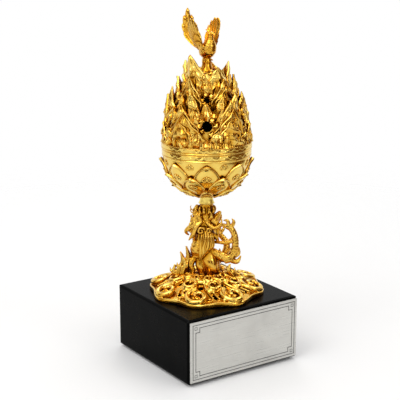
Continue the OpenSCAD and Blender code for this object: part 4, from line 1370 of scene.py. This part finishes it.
def hill(ring, azimuth, height, half, chance, fold, proud=0.0, crest=ROUND_CREST, tilt=0.15, edge=1.0):
    """One hill: a folded face with spurs, whose raised edges run up to a blunt tip."""
    radius, base = tier_radius(ring) + HILL_STAND + proud, tier_height(ring)
    slope = (tier_radius(max(ring - 1, 0)) - tier_radius(ring)) / TIER_RISE
    phase = chance.uniform(0, TAU)
    root = hill_root(ring, azimuth, half)
    v = np.concatenate([[-root / height], np.linspace(0, 1, int(9 + height)), [1 + TIP_HALF / height]])
    rise = np.clip(v, 0, 1)
    shoulder = 1 + SHOULDER * np.sin(TAU * SHOULDER_WAVES * rise + phase)
    width = np.maximum(half * (1 - rise ** crest[0]) ** crest[1] * shoulder, TIP_HALF)
    width[-1] = TIP_ROUND * TIP_HALF
    offset, relief = strip_grid(width, int(3 + half), CREST_RELIEF, EDGE_SPREAD)
    share = offset / width[:, None]
    up = np.repeat(rise[:, None], offset.shape[1], axis=1)
    level = np.repeat(v[:, None], offset.shape[1], axis=1) * height
    middle = 1 - np.abs(share) ** 1.3
    spurs = np.abs((mix(1.2, 2.6, min(1, half / 12)) * share + phase) % 1 - 0.5) * 2
    ridge = fold * middle * (1 - up) ** 0.5 + SPUR_SHARE * fold * spurs * (1 - share**4) * (1 - 0.6 * up)
    bend = slope * np.maximum(-level, 0) + HILL_LEAN * chance.uniform(0.2, 1.4) * up**1.3
    out = bend + ridge + edge * relief * mix(1.3, 0.8, up)
    back = bend - mix(1.0, 0.5, up) + 0.4 * ridge * (1 - up)
    out[-1], back[-1] = mix(out[-1], back[-1], 0.25), mix(out[-1], back[-1], 0.75)
    room_before, room_after = hole_room(ring, azimuth)
    squeeze = np.where(offset < 0, min(1, room_before / half), min(1, room_after / half))
    side = offset * squeeze + chance.uniform(-tilt, tilt) * height * up**1.6

    def placed(outward):
        angle = azimuth + side / radius
        r = radius + outward
        return np.stack([r * np.cos(angle), r * np.sin(angle), base + level], axis=-1)

    folds = crumple(placed(out), *HILL_FOLDS) * ramp(0, 0.35, 1 - np.abs(share))
    return pillow(placed(out + folds), placed(back))


def rock(place, wide, tall):
    """A rough lump."""
    points, faces = ball(place, (wide, wide, tall), 10, 13)
    outward = unit(points - np.asarray(place))
    folds = crumple(points, 0.9 * max(wide, tall), 1.8 * min(wide, tall))
    return points + outward * folds[:, None], faces


def on_ring(ring, azimuth, proud, height):
    """A place before a ring's hills, at a height above the ring's foot."""
    return polar(tier_radius(ring) + HILL_STAND + proud, azimuth, tier_height(ring) + height)


def clear_of_holes(ring, azimuth, reach):
    """Whether a place on a ring leaves the smoke holes open."""
    return min(hole_room(ring, azimuth)) > reach


def figure(place, size, chance):
    """A small seated lump with a round head."""
    x, y, z = place
    yield ball((x, y, z + 0.7 * size), (0.62 * size, 0.62 * size, 0.85 * size), 8, 9)
    yield ball((x, y, z + 1.75 * size), (0.42 * size, 0.42 * size, 0.46 * size), 7, 8)
    for _ in range(2):
        hand = (x + size * chance.uniform(-0.7, 0.7), y + size * chance.uniform(-0.7, 0.7), z + 0.6 * size)
        yield ball(hand, (0.4 * size, 0.4 * size, 0.35 * size), 6, 7)


def hill_height(k, n, form):
    """Height of a full hill; it varies round its ring, and hills under a smoke hole are low."""
    vary = 1 + VARY_SHARE * math.sin(math.radians(n * VARY_BY_HILL + k * VARY_BY_RING))
    shares = HILL_SHARES[k]
    extra = TOP_EXTRA if k == TIERS - 1 else 0
    return form.peak_height / MM * vary * shares[n % len(shares)] + extra


def broad_hill(k, azimuth, tall, half, chance):
    """A broad hill by the smoke holes: nested ridges, with smaller peaks along its flanks."""
    across = half / (tier_radius(k) + HILL_STAND)
    straight = {"crest": STRAIGHT_CREST, "tilt": 0.04}
    yield hill(k, azimuth, tall, half, chance, fold=1.6, edge=2.2, **straight)
    for aside, share in FLANK_PEAKS:
        height = tall * share * chance.uniform(0.95, 1.08)
        yield hill(k, azimuth + aside * across, height, 0.3 * half, chance, fold=1.4, proud=-0.6)
    for share, aside, proud, bulge in NESTED_RIDGES:
        place = azimuth + aside * across
        yield hill(k, place, share * tall, share * half, chance, bulge, proud, edge=2.0, **straight)


def narrow_hill(k, azimuth, tall, half, chance):
    """A steep hill with a smaller hill before it and one beside it."""
    across = half / (tier_radius(k) + HILL_STAND)
    bulge = BULGE[k] * chance.uniform(0.85, 1.15)
    yield hill(k, azimuth, tall * chance.uniform(0.92, 1.15), 1.08 * half, chance, bulge)
    place = azimuth + chance.uniform(-0.25, 0.25) * across
    height = tall * chance.uniform(0.42, 0.62)
    wide = chance.uniform(0.6, 0.8) * half
    yield hill(k, place, height, wide, chance, 0.75 * bulge, FRONT_STAND[k])
    place = azimuth + chance.uniform(0.7, 1.1) * across
    height = mix(VALLEY, tall, 0.3) * chance.uniform(0.7, 1.1)
    wide = chance.uniform(0.4, 0.6) * half
    yield hill(k, place, height, wide, chance, fold=1.4, proud=0.6 * FRONT_STAND[k], tilt=0.25)


def hole_rocks(k, chance):
    """Rough stones round each smoke hole of a ring."""
    height, radius = HOLE_PLACES[k]
    for i in range(HOLES):
        for n in range(HOLE_ROCKS):
            turn = TAU * (n + chance.uniform(-0.4, 0.4)) / HOLE_ROCKS
            size = chance.uniform(0.8, 1.8)
            reach = radius + chance.uniform(0.6, 1.3) * size
            azimuth = FACING + TAU * i / HOLES + reach * math.cos(turn) / tier_radius(k)
            yield rock(on_ring(k, azimuth, -0.2, height + reach * math.sin(turn)), size, size)


def inner_rocks(chance):
    """Rough stones round the pedestal's foot."""
    for n in range(INNER_ROCKS):
        azimuth = TAU * (n + chance.uniform(-0.2, 0.2)) / INNER_ROCKS
        radius = PEDESTAL_RADIUS + chance.uniform(-0.2, 1.0)
        wide = chance.uniform(1.0, 1.5)
        place = polar(radius, azimuth, DOME_TOP + chance.uniform(-0.4, 0.8))
        yield rock(place, wide, chance.uniform(1.4, 2.6))


def ring_of_hills(k, form):
    """The hills of one ring, with rocks and small figures before them."""
    chance = random.Random(HILL_SEED + k)
    pitch = TAU / RING_COUNTS[k]
    half = pitch * (tier_radius(k) + HILL_STAND) / 2
    kind = broad_hill if k in HOLE_GAPS else narrow_hill
    for n in range(RING_COUNTS[k]):
        azimuth = FACING + pitch * (n + 0.5 + RING_TURNS[k])
        tall = hill_height(k, n, form)
        yield from kind(k, azimuth, tall, half, chance)
        spot = azimuth + pitch * chance.uniform(-0.5, 0.5)
        wide = chance.uniform(1.4, 2.6)
        if clear_of_holes(k, spot, 0.5 * wide):
            height = chance.uniform(1.5, 2.4) * wide
            proud = FRONT_STAND[k] + chance.uniform(0, 0.8)
            yield hill(k, spot, height, wide, chance, fold=1.2, proud=proud)
        spot = azimuth + pitch * chance.uniform(-0.3, 0.3)
        if clear_of_holes(k, spot, 1.2) and chance.random() < FIGURE_SHARE:
            place = on_ring(k, spot, FRONT_STAND[k] + FIGURE_STAND, chance.uniform(0.2, 0.4) * tall)
            yield from figure(place, chance.uniform(1.0, 1.4), chance)
    if k in HOLE_PLACES:
        yield from hole_rocks(k, chance)
    if k == TIERS - 1:
        yield from inner_rocks(chance)


# Finial and bird

PEDESTAL_TOP = 2.6
STUD_RADIUS = 1.5
PEG_RADIUS = 1.2
# Beads round the pedestal: share of its height, spread and how far they stand out
PEDESTAL_BEADS = [(0.13, 0.045, 0.28), (0.9, 0.05, 0.25)]


def make_pedestal():
    """The flared pedestal with beads, its stud below and its peg above."""
    profile = [
        (0.0, STUD_LOW), (STUD_RADIUS, STUD_LOW), (STUD_RADIUS, DOME_TOP), (PEDESTAL_RADIUS, DOME_TOP),
        (PEDESTAL_RADIUS, DOME_TOP + 0.3),
    ]
    tall = BIRD_LOW - DOME_TOP
    for t in np.linspace(0.06, 1, 40):
        flare = mix(PEDESTAL_TOP - 0.25, PEDESTAL_RADIUS - 0.4, (1 - t) ** 2.2)
        bead = sum(out * math.exp(-((t - at) / spread) ** 2) for at, spread, out in PEDESTAL_BEADS)
        profile.append((flare + bead, DOME_TOP + tall * t))
    profile += [(PEG_RADIUS, BIRD_LOW), (PEG_RADIUS, PEG_HIGH), (0.0, PEG_HIGH)]
    return mesh_object("gilt_pedestal", [lathe(profile, 96)])


# Strands of the bird: x, y, z above the pedestal and radius
BIRD_SPINE = [
    (0, 4.6, 6.4, 1.4), (0, 2, 5, 3.5), (0, -1, 5.4, 4.1), (0, -2.6, 8.4, 3.5), (0, -3, 11.4, 1.9),
    (0, -3.4, 13.6, 1.6), (0, -5, 14.2, 0.9), (0, -7, 13.6, 0.15),
]
CREST = [
    [(0, -3.2, 14.4, 0.7), (0, -2.2, 16.6, 0.6), (0, -0.4, 17.4, 0.15)],
    [(0.4, -3.0, 14.2, 0.5), (0.9, -1.6, 15.8, 0.45), (1.0, -0.2, 15.8, 0.15)],
    [(-0.4, -3.0, 14.2, 0.5), (-0.9, -1.6, 15.8, 0.45), (-1.0, -0.2, 15.8, 0.15)],
]
# Flight feathers: degrees back from the leading edge and share of the wing's length
FEATHERS = [(7, 0.98), (-2, 1.0), (-11, 0.95), (-21, 0.86), (-33, 0.71), (-47, 0.54)]
# Layers of a wing, flight feathers first: share of their length, share of their width and lift
WING_LAYERS = [(1.0, 1.0, 0.0), (0.56, 0.85, 0.4), (0.34, 0.75, 0.75)]
FEATHER_HALF = 2.5
FEATHER_LINES = 15
# Share of a feather's length at which its tip starts to round
FEATHER_BLUNT = 0.72
SHAFT_HALF = 0.28
SHAFT_HEIGHT = 0.22
BARB_PITCH = 1.15
BARB_SLANT = 1.1
BARB_HEIGHT = 0.09
WING_BOW = 40.0
WING_ROOT = (2.4, -0.6, 6)
# Degrees that a wing leans outwards and back
WING_OUT = 32
WING_BACK = 14
# Tail plumes: degrees from the middle, share of the tail's length and half width
PLUMES = [
    (0, 1.0, 2.0), (6, 0.88, 1.9), (-6, 0.88, 1.9), (12, 0.74, 1.9), (-12, 0.74, 1.9), (18, 0.56, 1.7),
    (-18, 0.56, 1.7),
]
PLUME_BOW = 500.0
TAIL_BOW = 22.0
TAIL_ROOT = (0, 3, 5)
TAIL_RISE = 21.0
TAIL_BACK = 14.5
# Toes of the bird, by how far they spread to the side
TOES = (-0.5, 0.2, 0.9)


def feather(long, half, thick, bow, lift, curl=0.0):
    """A feather with a shaft and barbs, rounded at its tip; y runs along it."""
    v = 1 - (1 - np.linspace(0, 1, 22)) ** 1.4
    to_tip = np.maximum((v - FEATHER_BLUNT) / (1 - FEATHER_BLUNT), 0)
    blunt = np.sqrt(np.maximum(1 - to_tip**2, 0.004))
    width = half * blunt * mix(0.55, 1, ramp(0, 0.4, v))
    share = np.linspace(-1, 1, FEATHER_LINES)
    x = width[:, None] * share[None, :]
    y = np.repeat(long * v[:, None], FEATHER_LINES, axis=1)
    edge = np.sqrt(np.maximum(1 - share**2, 0))[None, :]
    shaft = SHAFT_HEIGHT * np.exp(-((x / SHAFT_HALF) ** 2))
    barbs = BARB_HEIGHT * np.sin((y - BARB_SLANT * np.abs(x)) * TAU / BARB_PITCH) * (np.abs(x) > 0.3)
    sag = bow - np.sqrt(bow * bow - y * y)
    level = lift - sag + curl * ramp(0.7, 1.0, y / long)
    front = np.stack([x, y, level + thick / 2 * edge + shaft + barbs], axis=-1)
    back = np.stack([x, y, level - thick / 2 * edge - 0.7 * shaft - barbs], axis=-1)
    return pillow(front, back)


def wing(side, form):
    """A raised wing of flight feathers with two rows of coverts."""
    upright = rotation("Z", -90) @ rotation("X", 90)
    turn = np.diag([side, 1, 1]) @ rotation("Y", -WING_OUT) @ rotation("X", -WING_BACK) @ upright
    root = np.array([-WING_ROOT[0] * side, WING_ROOT[1], BIRD_LOW + WING_ROOT[2]])
    for level, (scale, half, lift) in enumerate(WING_LAYERS):
        for i, (angle, share) in enumerate(FEATHERS):
            long = form.wing_length / MM * share * scale
            plume = feather(long, FEATHER_HALF * half, 0.8, WING_BOW, lift + 0.07 * i, 0.2 * level)
            yield moved(plume, turn @ rotation("Z", -angle - 3 * level), root)
    yield moved(ball((0, 1.2, 0.2), (2.6, 3.4, 1.6)), turn, root)


def tail_plumes():
    """The raised tail: a long middle plume with shorter plumes fanned beside it."""
    long = math.hypot(TAIL_BACK, TAIL_RISE)
    sag = math.sqrt(TAIL_BOW**2 - long**2 / 4)
    raised = rotation("X", math.degrees(math.atan2(TAIL_RISE, TAIL_BACK)))
    root = np.array(TAIL_ROOT) + np.array([0, 0, BIRD_LOW])
    for angle, share, half in PLUMES:
        plume = feather(long * share, half, 0.9, PLUME_BOW, -0.1 * abs(angle) / 5)
        points, faces = moved(plume, rotation("Z", angle))
        along = np.clip(points[:, 1], 0, long)
        points[:, 2] += sag - np.sqrt(np.maximum(TAIL_BOW**2 - (along - long / 2) ** 2, 0))
        tip = points[np.argmax(points[:, 1])]
        yield moved((points, faces), raised, root)
        yield moved(ball(tip - np.array([0, 1.6, 0]), (0.9, 0.9, 0.5), 7, 9), raised, root)


def bird_body():
    """Body, neck, head, beak, crest and legs of the bird, and the stub that it stands on."""
    side_on = {"press": (1, 0, 0)}
    yield sweep(BIRD_SPINE, 120, 28, relief=scales(11, 1.0, 0.2), **side_on)
    for strand in CREST:
        yield sweep(strand, 16, 8, **side_on)
    for side in (-1, 1):
        leg = [(side * 1.2, -0.8, 4.2, 1.3), (side * 1.4, -0.4, 2, 0.9), (side * 1.2, -0.6, 0.4, 0.9)]
        yield ball((side * 1.25, -3.9, 14.1), (0.4, 0.5, 0.5), 7, 9)
        yield sweep(leg, 14, 10, **side_on)
        for toe in TOES:
            yield sweep([
                (side * 1.2, -0.5, 0.6, 0.7), (side * (1.2 + toe), -1.5, 0.45, 0.5),
                (side * (1.2 + 1.3 * toe), -2.2, 0.2, 0.2)], 8, 6, **side_on)
    stub = [(0.0, 0.02), (PEDESTAL_TOP, 0.02), (PEDESTAL_TOP - 0.3, 1.0), (1.7, 3.8), (0.0, 4)]
    yield lathe(stub, 48)


# Plate rules and felt

RULE_PROUD = 0.03
BORDER_INSET = 1.5
FRAME_INSET = 3.2
FRAME_STEP = 2.4
SQUARE_INSET = 3.3
SQUARE_HALF = 0.7
FELT_EDGE = 1.2
FELT_FUZZ = 0.03


def plate_edges(inset):
    """The left, right, low and high edges of the plate, moved in by an inset."""
    return PLATE_LOW[0] + inset, PLATE_HIGH[0] - inset, PLATE_LOW[2] + inset, PLATE_HIGH[2] - inset


def rectangle(x0, x1, z0, z1):
    """Corners of a rectangle on the plate."""
    return [(x0, z0), (x1, z0), (x1, z1), (x0, z1)]


def stepped_frame(step, x0, x1, z0, z1):
    """Corners of a rectangle whose corners step in."""
    return [
        (x0 + step, z0), (x1 - step, z0), (x1 - step, z0 + step), (x1, z0 + step),
        (x1, z1 - step), (x1 - step, z1 - step), (x1 - step, z1), (x0 + step, z1),
        (x0 + step, z1 - step), (x0, z1 - step), (x0, z0 + step), (x0 + step, z0 + step),
    ]


def ribbon(corners, width):
    """A closed printed rule that turns square corners, standing just proud of the plate."""
    corners = np.asarray(corners, float)
    for a, b in zip(corners, np.roll(corners, -1, axis=0)):
        lo = np.minimum(a, b) - width / 2
        hi = np.maximum(a, b) + width / 2
        y = PLATE_LOW[1] - RULE_PROUD
        front = np.array([[(x, y, z) for x in (lo[0], hi[0])] for z in (lo[1], hi[1])])
        yield pillow(front, front + np.array([0, RULE_PROUD, 0]))


def plate_rules(form):
    """The plate's double border with stepped corners and a small square in each corner."""
    wide = form.rule_width / MM
    yield from ribbon(rectangle(*plate_edges(BORDER_INSET)), wide)
    yield from ribbon(stepped_frame(FRAME_STEP, *plate_edges(FRAME_INSET)), wide)
    left, right, bottom, top = plate_edges(SQUARE_INSET)
    for x in (left, right):
        for z in (bottom, top):
            square = rectangle(x - SQUARE_HALF, x + SQUARE_HALF, z - SQUARE_HALF, z + SQUARE_HALF)
            yield from ribbon(square, 0.7 * wide)


def make_felt():
    """The felt pad: a thin sheet with soft edges and a slightly uneven face."""
    side, _, thick = FELT_HIGH - FELT_LOW
    share = np.concatenate([[0, 0.006], np.linspace(0.02, 0.98, 60), [0.994, 1]])
    x, y = np.meshgrid(FELT_LOW[0] + side * share, FELT_LOW[1] + side * share)
    to_edge = np.minimum.reduce([x - FELT_LOW[0], FELT_HIGH[0] - x, y - FELT_LOW[1], FELT_HIGH[1] - y])
    soft = ramp(0, FELT_EDGE, to_edge)
    fuzz = np.abs(FELT_FUZZ * np.sin(1.9 * x + 0.7 * y) * np.cos(2.3 * y - 0.4 * x))
    top = FELT_LOW[2] + thick * mix(0.75, 1.0, soft)
    bottom = FELT_LOW[2] + thick * mix(0.25, 0.0, soft) + fuzz * soft
    return mesh_object("felt_pad", [pillow(np.stack([x, y, top], -1), np.stack([x, y, bottom], -1))])


# Stage

SENSOR_WIDTH = 36
LIGHT_AIM = np.array([0, 0, 0.1])
LAMPS = [
    # name, azimuth and elevation in degrees, distance and size in metres, watts
    ("key", -75, 48, 0.75, 0.4, 1.4),
    ("fill", 25, 36, 0.9, 0.3, 0.6),
    ("rim", 150, 40, 0.8, 0.28, 0.7),
]
# Soft boxes that only the gloss of the metal sees
GLINTS = [
    ("left_glint", -115, 28, 0.7, 0.18, 0.8),
    ("top_glint", -60, 72, 0.7, 0.4, 1.9),
    ("right_glint", 85, 52, 0.8, 0.18, 0.8),
    ("low_glint", -58, 4, 0.9, 0.13, 0.32),
    ("front_glint", 4, 20, 0.9, 0.15, 0.42),
]
CARDS = [
    # name, azimuth and elevation in degrees, distance, width and height in metres
    ("left_card", -118, 8, 0.6, 0.36, 0.7),
    ("front_card", -12, 2, 0.75, 0.28, 0.34),
    ("right_card", 52, 10, 0.6, 0.64, 0.7),
    ("low_card", -50, -4, 0.5, 0.3, 0.16),
    ("right_low_card", 48, -18, 0.28, 0.4, 0.16),
]
FLOOR_SIDES = 96
# Shares of the floor's radius between which it fades
FLOOR_FADE = (0.25, 0.98)


def aim_axes(a, e):
    """Right, up and backward directions of what looks at the censer from an azimuth and an elevation."""
    back = np.array([math.sin(a) * math.cos(e), -math.cos(a) * math.cos(e), math.sin(e)])
    right = np.array([math.cos(a), math.sin(a), 0])
    return right, np.cross(back, right), back


def stand(made, axes, place):
    """Turns an object to its axes and puts it in its place."""
    rows = [[*turn, x] for turn, x in zip(np.column_stack(axes), place)]
    made.matrix_world = Matrix(rows + [[0, 0, 0, 1]])


def make_camera(view):
    """The camera, at the photograph's own viewing angle."""
    data = bpy.data.cameras.new("camera")
    data.lens = view.lens
    data.sensor_width = SENSOR_WIDTH
    camera = linked(bpy.data.objects.new("camera", data))
    axes = aim_axes(view.azimuth, view.elevation)
    stand(camera, axes, view.aim_side * axes[0] + view.aim_up * axes[1] + view.distance * axes[2])
    bpy.context.scene.camera = camera


def make_lamps(rows, on_rough):
    """Soft lamps that look at the censer's middle, and light rough surfaces or the gloss alone."""
    for name, azimuth, elevation, distance, size, watts in rows:
        data = bpy.data.lights.new(name, "AREA")
        data.size = size
        data.energy = watts
        lamp = linked(bpy.data.objects.new(name, data))
        axes = aim_axes(math.radians(azimuth), math.radians(elevation))
        stand(lamp, axes, LIGHT_AIM + distance * axes[2])
        lamp.visible_diffuse = on_rough


def make_cards(view):
    """Brown cards that only the gloss of the metal sees, for warm dark reflections."""
    material, tree, shader, _ = new_finish("brown_card")
    fill(tree, shader, base_color=view.card_colour, roughness=1.0)
    for name, azimuth, elevation, distance, wide, tall in CARDS:
        right, up, back = aim_axes(math.radians(azimuth), math.radians(elevation))
        corners = [
            LIGHT_AIM + distance * back + x * wide / 2 * right + y * tall / 2 * up
            for x, y in ((-1, -1), (1, -1), (1, 1), (-1, 1))
        ]
        made = mesh_object(name, [(np.array(corners) / MM, [(0, 1, 2, 3)])])
        paint(made, material)
        made.visible_camera = False
        made.visible_diffuse = False
        made.visible_shadow = False


def make_world(view):
    """A white surround: full strength to the eye and to reflections, softer on rough surfaces."""
    world = bpy.data.worlds.new("surround")
    world.use_nodes = True
    tree = world.node_tree
    ray = add_node(tree, "LightPath").outputs
    shown = math_node(tree, "MAXIMUM", ray["Is Camera Ray"], ray["Is Glossy Ray"])
    shown = math_node(tree, "MAXIMUM", shown, ray["Is Transmission Ray"])
    level = remap(tree, shown, 0.0, 1.0, view.sky_level, 1.0)
    fill(tree, tree.nodes["Background"].inputs, color=(1, 1, 1), strength=level)
    bpy.context.scene.world = world


def paper_floor(view):
    """Pale paper that fades into the white surround."""
    material, tree, shader, _ = new_finish("paper_floor")
    fill(tree, shader, base_color=view.floor_colour, roughness=0.8)
    away = vector_node(tree, "LENGTH", add_node(tree, "TexCoord").outputs["Object"])
    fade = remap(tree, away, *(share * view.floor_radius for share in FLOOR_FADE))
    paper, clear = tree.nodes["Principled BSDF"], add_node(tree, "BsdfTransparent")
    both = add_node(tree, "MixShader", fade, paper.outputs["BSDF"], clear.outputs["BSDF"])
    fill(tree, tree.nodes["Material Output"].inputs, surface=both.outputs["Shader"])
    return material


def make_floor(view):
    """A round floor under the censer."""
    angles = np.arange(FLOOR_SIDES) * TAU / FLOOR_SIDES
    points = np.array([polar(view.floor_radius / MM, a, 0) for a in angles])
    made = mesh_object("floor", [(points, [tuple(range(FLOOR_SIDES))])])
    paint(made, paper_floor(view))


# Operators


def gild(made, skin, body, *nodes):
    """Finishes a gilt casting that stands for construction nodes."""
    finish_piece(made, skin, body, "gilt_bronze", *nodes)


class CENSER_OT_stage(bpy.types.Operator):
    """Make the camera, lamps, white surround and floor"""

    bl_idname = "censer.stage"
    bl_label = "Stage"

    def execute(self, context):
        view = context.scene.censer_stage
        context.scene.view_settings.view_transform = "Standard"
        make_camera(view)
        make_lamps(LAMPS, True)
        make_lamps(GLINTS, False)
        make_world(view)
        make_floor(view)
        make_cards(view)
        return {"FINISHED"}


class CENSER_OT_plinth(bpy.types.Operator):
    """Paint the plinth and lay its felt"""

    bl_idname = "censer.plinth"
    bl_label = "Plinth and Felt"

    def execute(self, context):
        dress_nodes(black_lacquer(), "plinth")
        felt = finish_piece(make_felt(), pressed_felt(), "base", "felt", "base_felt")
        return {"FINISHED"}


class CENSER_OT_plate(bpy.types.Operator):
    """Finish the bare plate, its border and its tape"""

    bl_idname = "censer.plate"
    bl_label = "Plate"

    def execute(self, context):
        dress_nodes(satin_plate(), "name_plate")
        dress_nodes(paper_tape(), "plate_tape")
        rules = mesh_object("plate_rules", plate_rules(context.scene.censer_form))
        finish_piece(rules, printed_ink(), "base", "plate_metal")
        return {"FINISHED"}


class CENSER_OT_fixings(bpy.types.Operator):
    """Finish the screw, bolt, washers and nut"""

    bl_idname = "censer.fixings"
    bl_label = "Fixings"

    def execute(self, context):
        dress_nodes(plated_steel(), "plinth_washer", "plinth_screw", "bowl_washer", "bowl_bolt", "finial_nut")
        return {"FINISHED"}


class CENSER_OT_foot(bpy.types.Operator):
    """Cast the wave foot and its flames"""

    bl_idname = "censer.foot"
    bl_label = "Wave Foot"

    def execute(self, context):
        form = context.scene.censer_form
        # A darker, more amber copy of the gilding, with more shade in its folds: painted shade on the foot
        # and flames.
        skin = gilt("base_gilding_shaded", fold_depth=4, wash=0.25, shade=0.08)
        gild(make_foot(form), skin, "base", "foot", "foot_scrolls")
        gild(dragon_object("gilt_flames", flames(), form), skin, "base", "foot_flames")
        return {"FINISHED"}


class CENSER_OT_dragon(bpy.types.Operator):
    """Cast the dragon's body, head and legs"""

    bl_idname = "censer.dragon"
    bl_label = "Dragon Stem"

    def execute(self, context):
        form = context.scene.censer_form
        # A darker, more amber copy of the gilding, with more shade in its folds: painted shade on the dragon.
        skin = gilt("stem_gilding_shaded", fold_depth=5, wash=0.35, shade=0.16)
        gild(dragon_object("gilt_dragon_body", trunk(), form), skin, "base", "dragon_body", "dragon_tail")
        face = dragon_object("gilt_dragon_head", [*head(), *mane()], form, beard())
        gild(face, skin, "base", "dragon_head", "dragon_mane")
        legs = dragon_object("gilt_dragon_legs", [*raised_limb(), *standing_legs()], form)
        floor_at(legs, HUB_TOP - 1.0)
        gild(legs, skin, "base", "dragon_raised_leg", "dragon_standing_legs")
        return {"FINISHED"}


class CENSER_OT_bowl(bpy.types.Operator):
    """Turn the neck and the bowl and set the petals"""

    bl_idname = "censer.bowl"
    bl_label = "Neck, Bowl and Petals"

    def execute(self, context):
        form = context.scene.censer_form
        skin = gilt("polished_gilding")
        # The neck's copy of the gilding is lighter as painted light; its higher roughness is the satin
        # finish.
        gild(make_neck(), gilt("satin_gilding_lightened", fold_depth=2, wash=-0.35, dull=0.25), "base", "neck_tube")
        gild(make_bowl(), skin, "base", "bowl")
        for row, (*_, node) in enumerate(PETAL_ROWS):
            gild(mesh_object(f"gilt_petals_{row + 1}", ring_of_petals(row, form)), skin, "base", node)
        return {"FINISHED"}


class CENSER_OT_lid(bpy.types.Operator):
    """Turn the collar, darken the dome and raise the rings of hills"""

    bl_idname = "censer.lid"
    bl_label = "Hill Lid"

    def execute(self, context):
        form = context.scene.censer_form
        skin = gilt("polished_gilding")
        # The hills' copy of the gilding, darker in its folds: painted shade.
        rough_skin = gilt("hill_gilding_shaded", fold_depth=4, wash=0.05, shade=0.1)
        # The dome's inner walls are painted near-black as painted shade.
        dress_nodes(inner_shaded_gilt(), "lid_dome")
        gild(make_collar(), skin, "lid", "lid_collar")
        for k in range(TIERS):
            hills = mesh_object(f"gilt_hills_{k + 1}", ring_of_hills(k, form))
            gild(hills, rough_skin, "lid", f"peaks_tier_{k + 1}")
        return {"FINISHED"}


class CENSER_OT_bird(bpy.types.Operator):
    """Turn the pedestal and cast the bird with its feathers"""

    bl_idname = "censer.bird"
    bl_label = "Bird Finial"

    def execute(self, context):
        form = context.scene.censer_form
        # A darker, more amber copy of the gilding, with more shade in its folds: painted shade on the
        # pedestal and bird.
        skin = gilt("bird_gilding_shaded", fold_depth=5, wash=0.45, shade=0.2)
        gild(make_pedestal(), skin, "lid", "finial_pedestal")
        standing = [moved(shell, offset=(0, 0, BIRD_LOW)) for shell in bird_body()]
        gild(fused_object("gilt_bird_body", standing, form.fuse * 0.8, soften=1), skin, "lid", "bird_body")
        for hand, side in (("left", 1), ("right", -1)):
            gild(mesh_object(f"gilt_wing_{hand}", wing(side, form)), skin, "lid", f"bird_wing_{hand}")
        gild(mesh_object("gilt_tail", tail_plumes()), skin, "lid", "bird_tail")
        return {"FINISHED"}


STEPS = (
    CENSER_OT_stage, CENSER_OT_plinth, CENSER_OT_plate, CENSER_OT_fixings, CENSER_OT_foot,
    CENSER_OT_dragon, CENSER_OT_bowl, CENSER_OT_lid, CENSER_OT_bird,
)


class CENSER_PT_sidebar(bpy.types.Panel):
    """Steps that build the censer, and its settings"""

    bl_idname = "CENSER_PT_sidebar"
    bl_label = "Hill Censer"
    bl_space_type = "VIEW_3D"
    bl_region_type = "UI"
    bl_category = "Censer"

    def draw(self, context):
        for step in STEPS:
            self.layout.operator(step.bl_idname)
        for group in (context.scene.censer_form, context.scene.censer_finish, context.scene.censer_stage):
            column = self.layout.column(align=True)
            for key in group.bl_rna.properties.keys():
                if key not in ("rna_type", "name"):
                    column.prop(group, key)


SETTINGS = {"censer_finish": CenserFinish, "censer_form": CenserForm, "censer_stage": CenserStage}
CLASSES = (*SETTINGS.values(), *STEPS, CENSER_PT_sidebar)


def register():
    """Registers the classes and hangs the settings on the scene."""
    for cls in CLASSES:
        bpy.utils.register_class(cls)
    for name, group in SETTINGS.items():
        setattr(bpy.types.Scene, name, bpy.props.PointerProperty(type=group))


def unregister():
    """Takes the settings and the classes away again."""
    for name in SETTINGS:
        delattr(bpy.types.Scene, name)
    for cls in reversed(CLASSES):
        bpy.utils.unregister_class(cls)


def main():
    """Builds the censer."""
    register()
    bpy.ops.censer.stage()
    bpy.ops.censer.plinth()
    bpy.ops.censer.plate()
    bpy.ops.censer.fixings()
    bpy.ops.censer.foot()
    bpy.ops.censer.dragon()
    bpy.ops.censer.bowl()
    bpy.ops.censer.lid()
    bpy.ops.censer.bird()


if __name__ == "__main__":
    main()
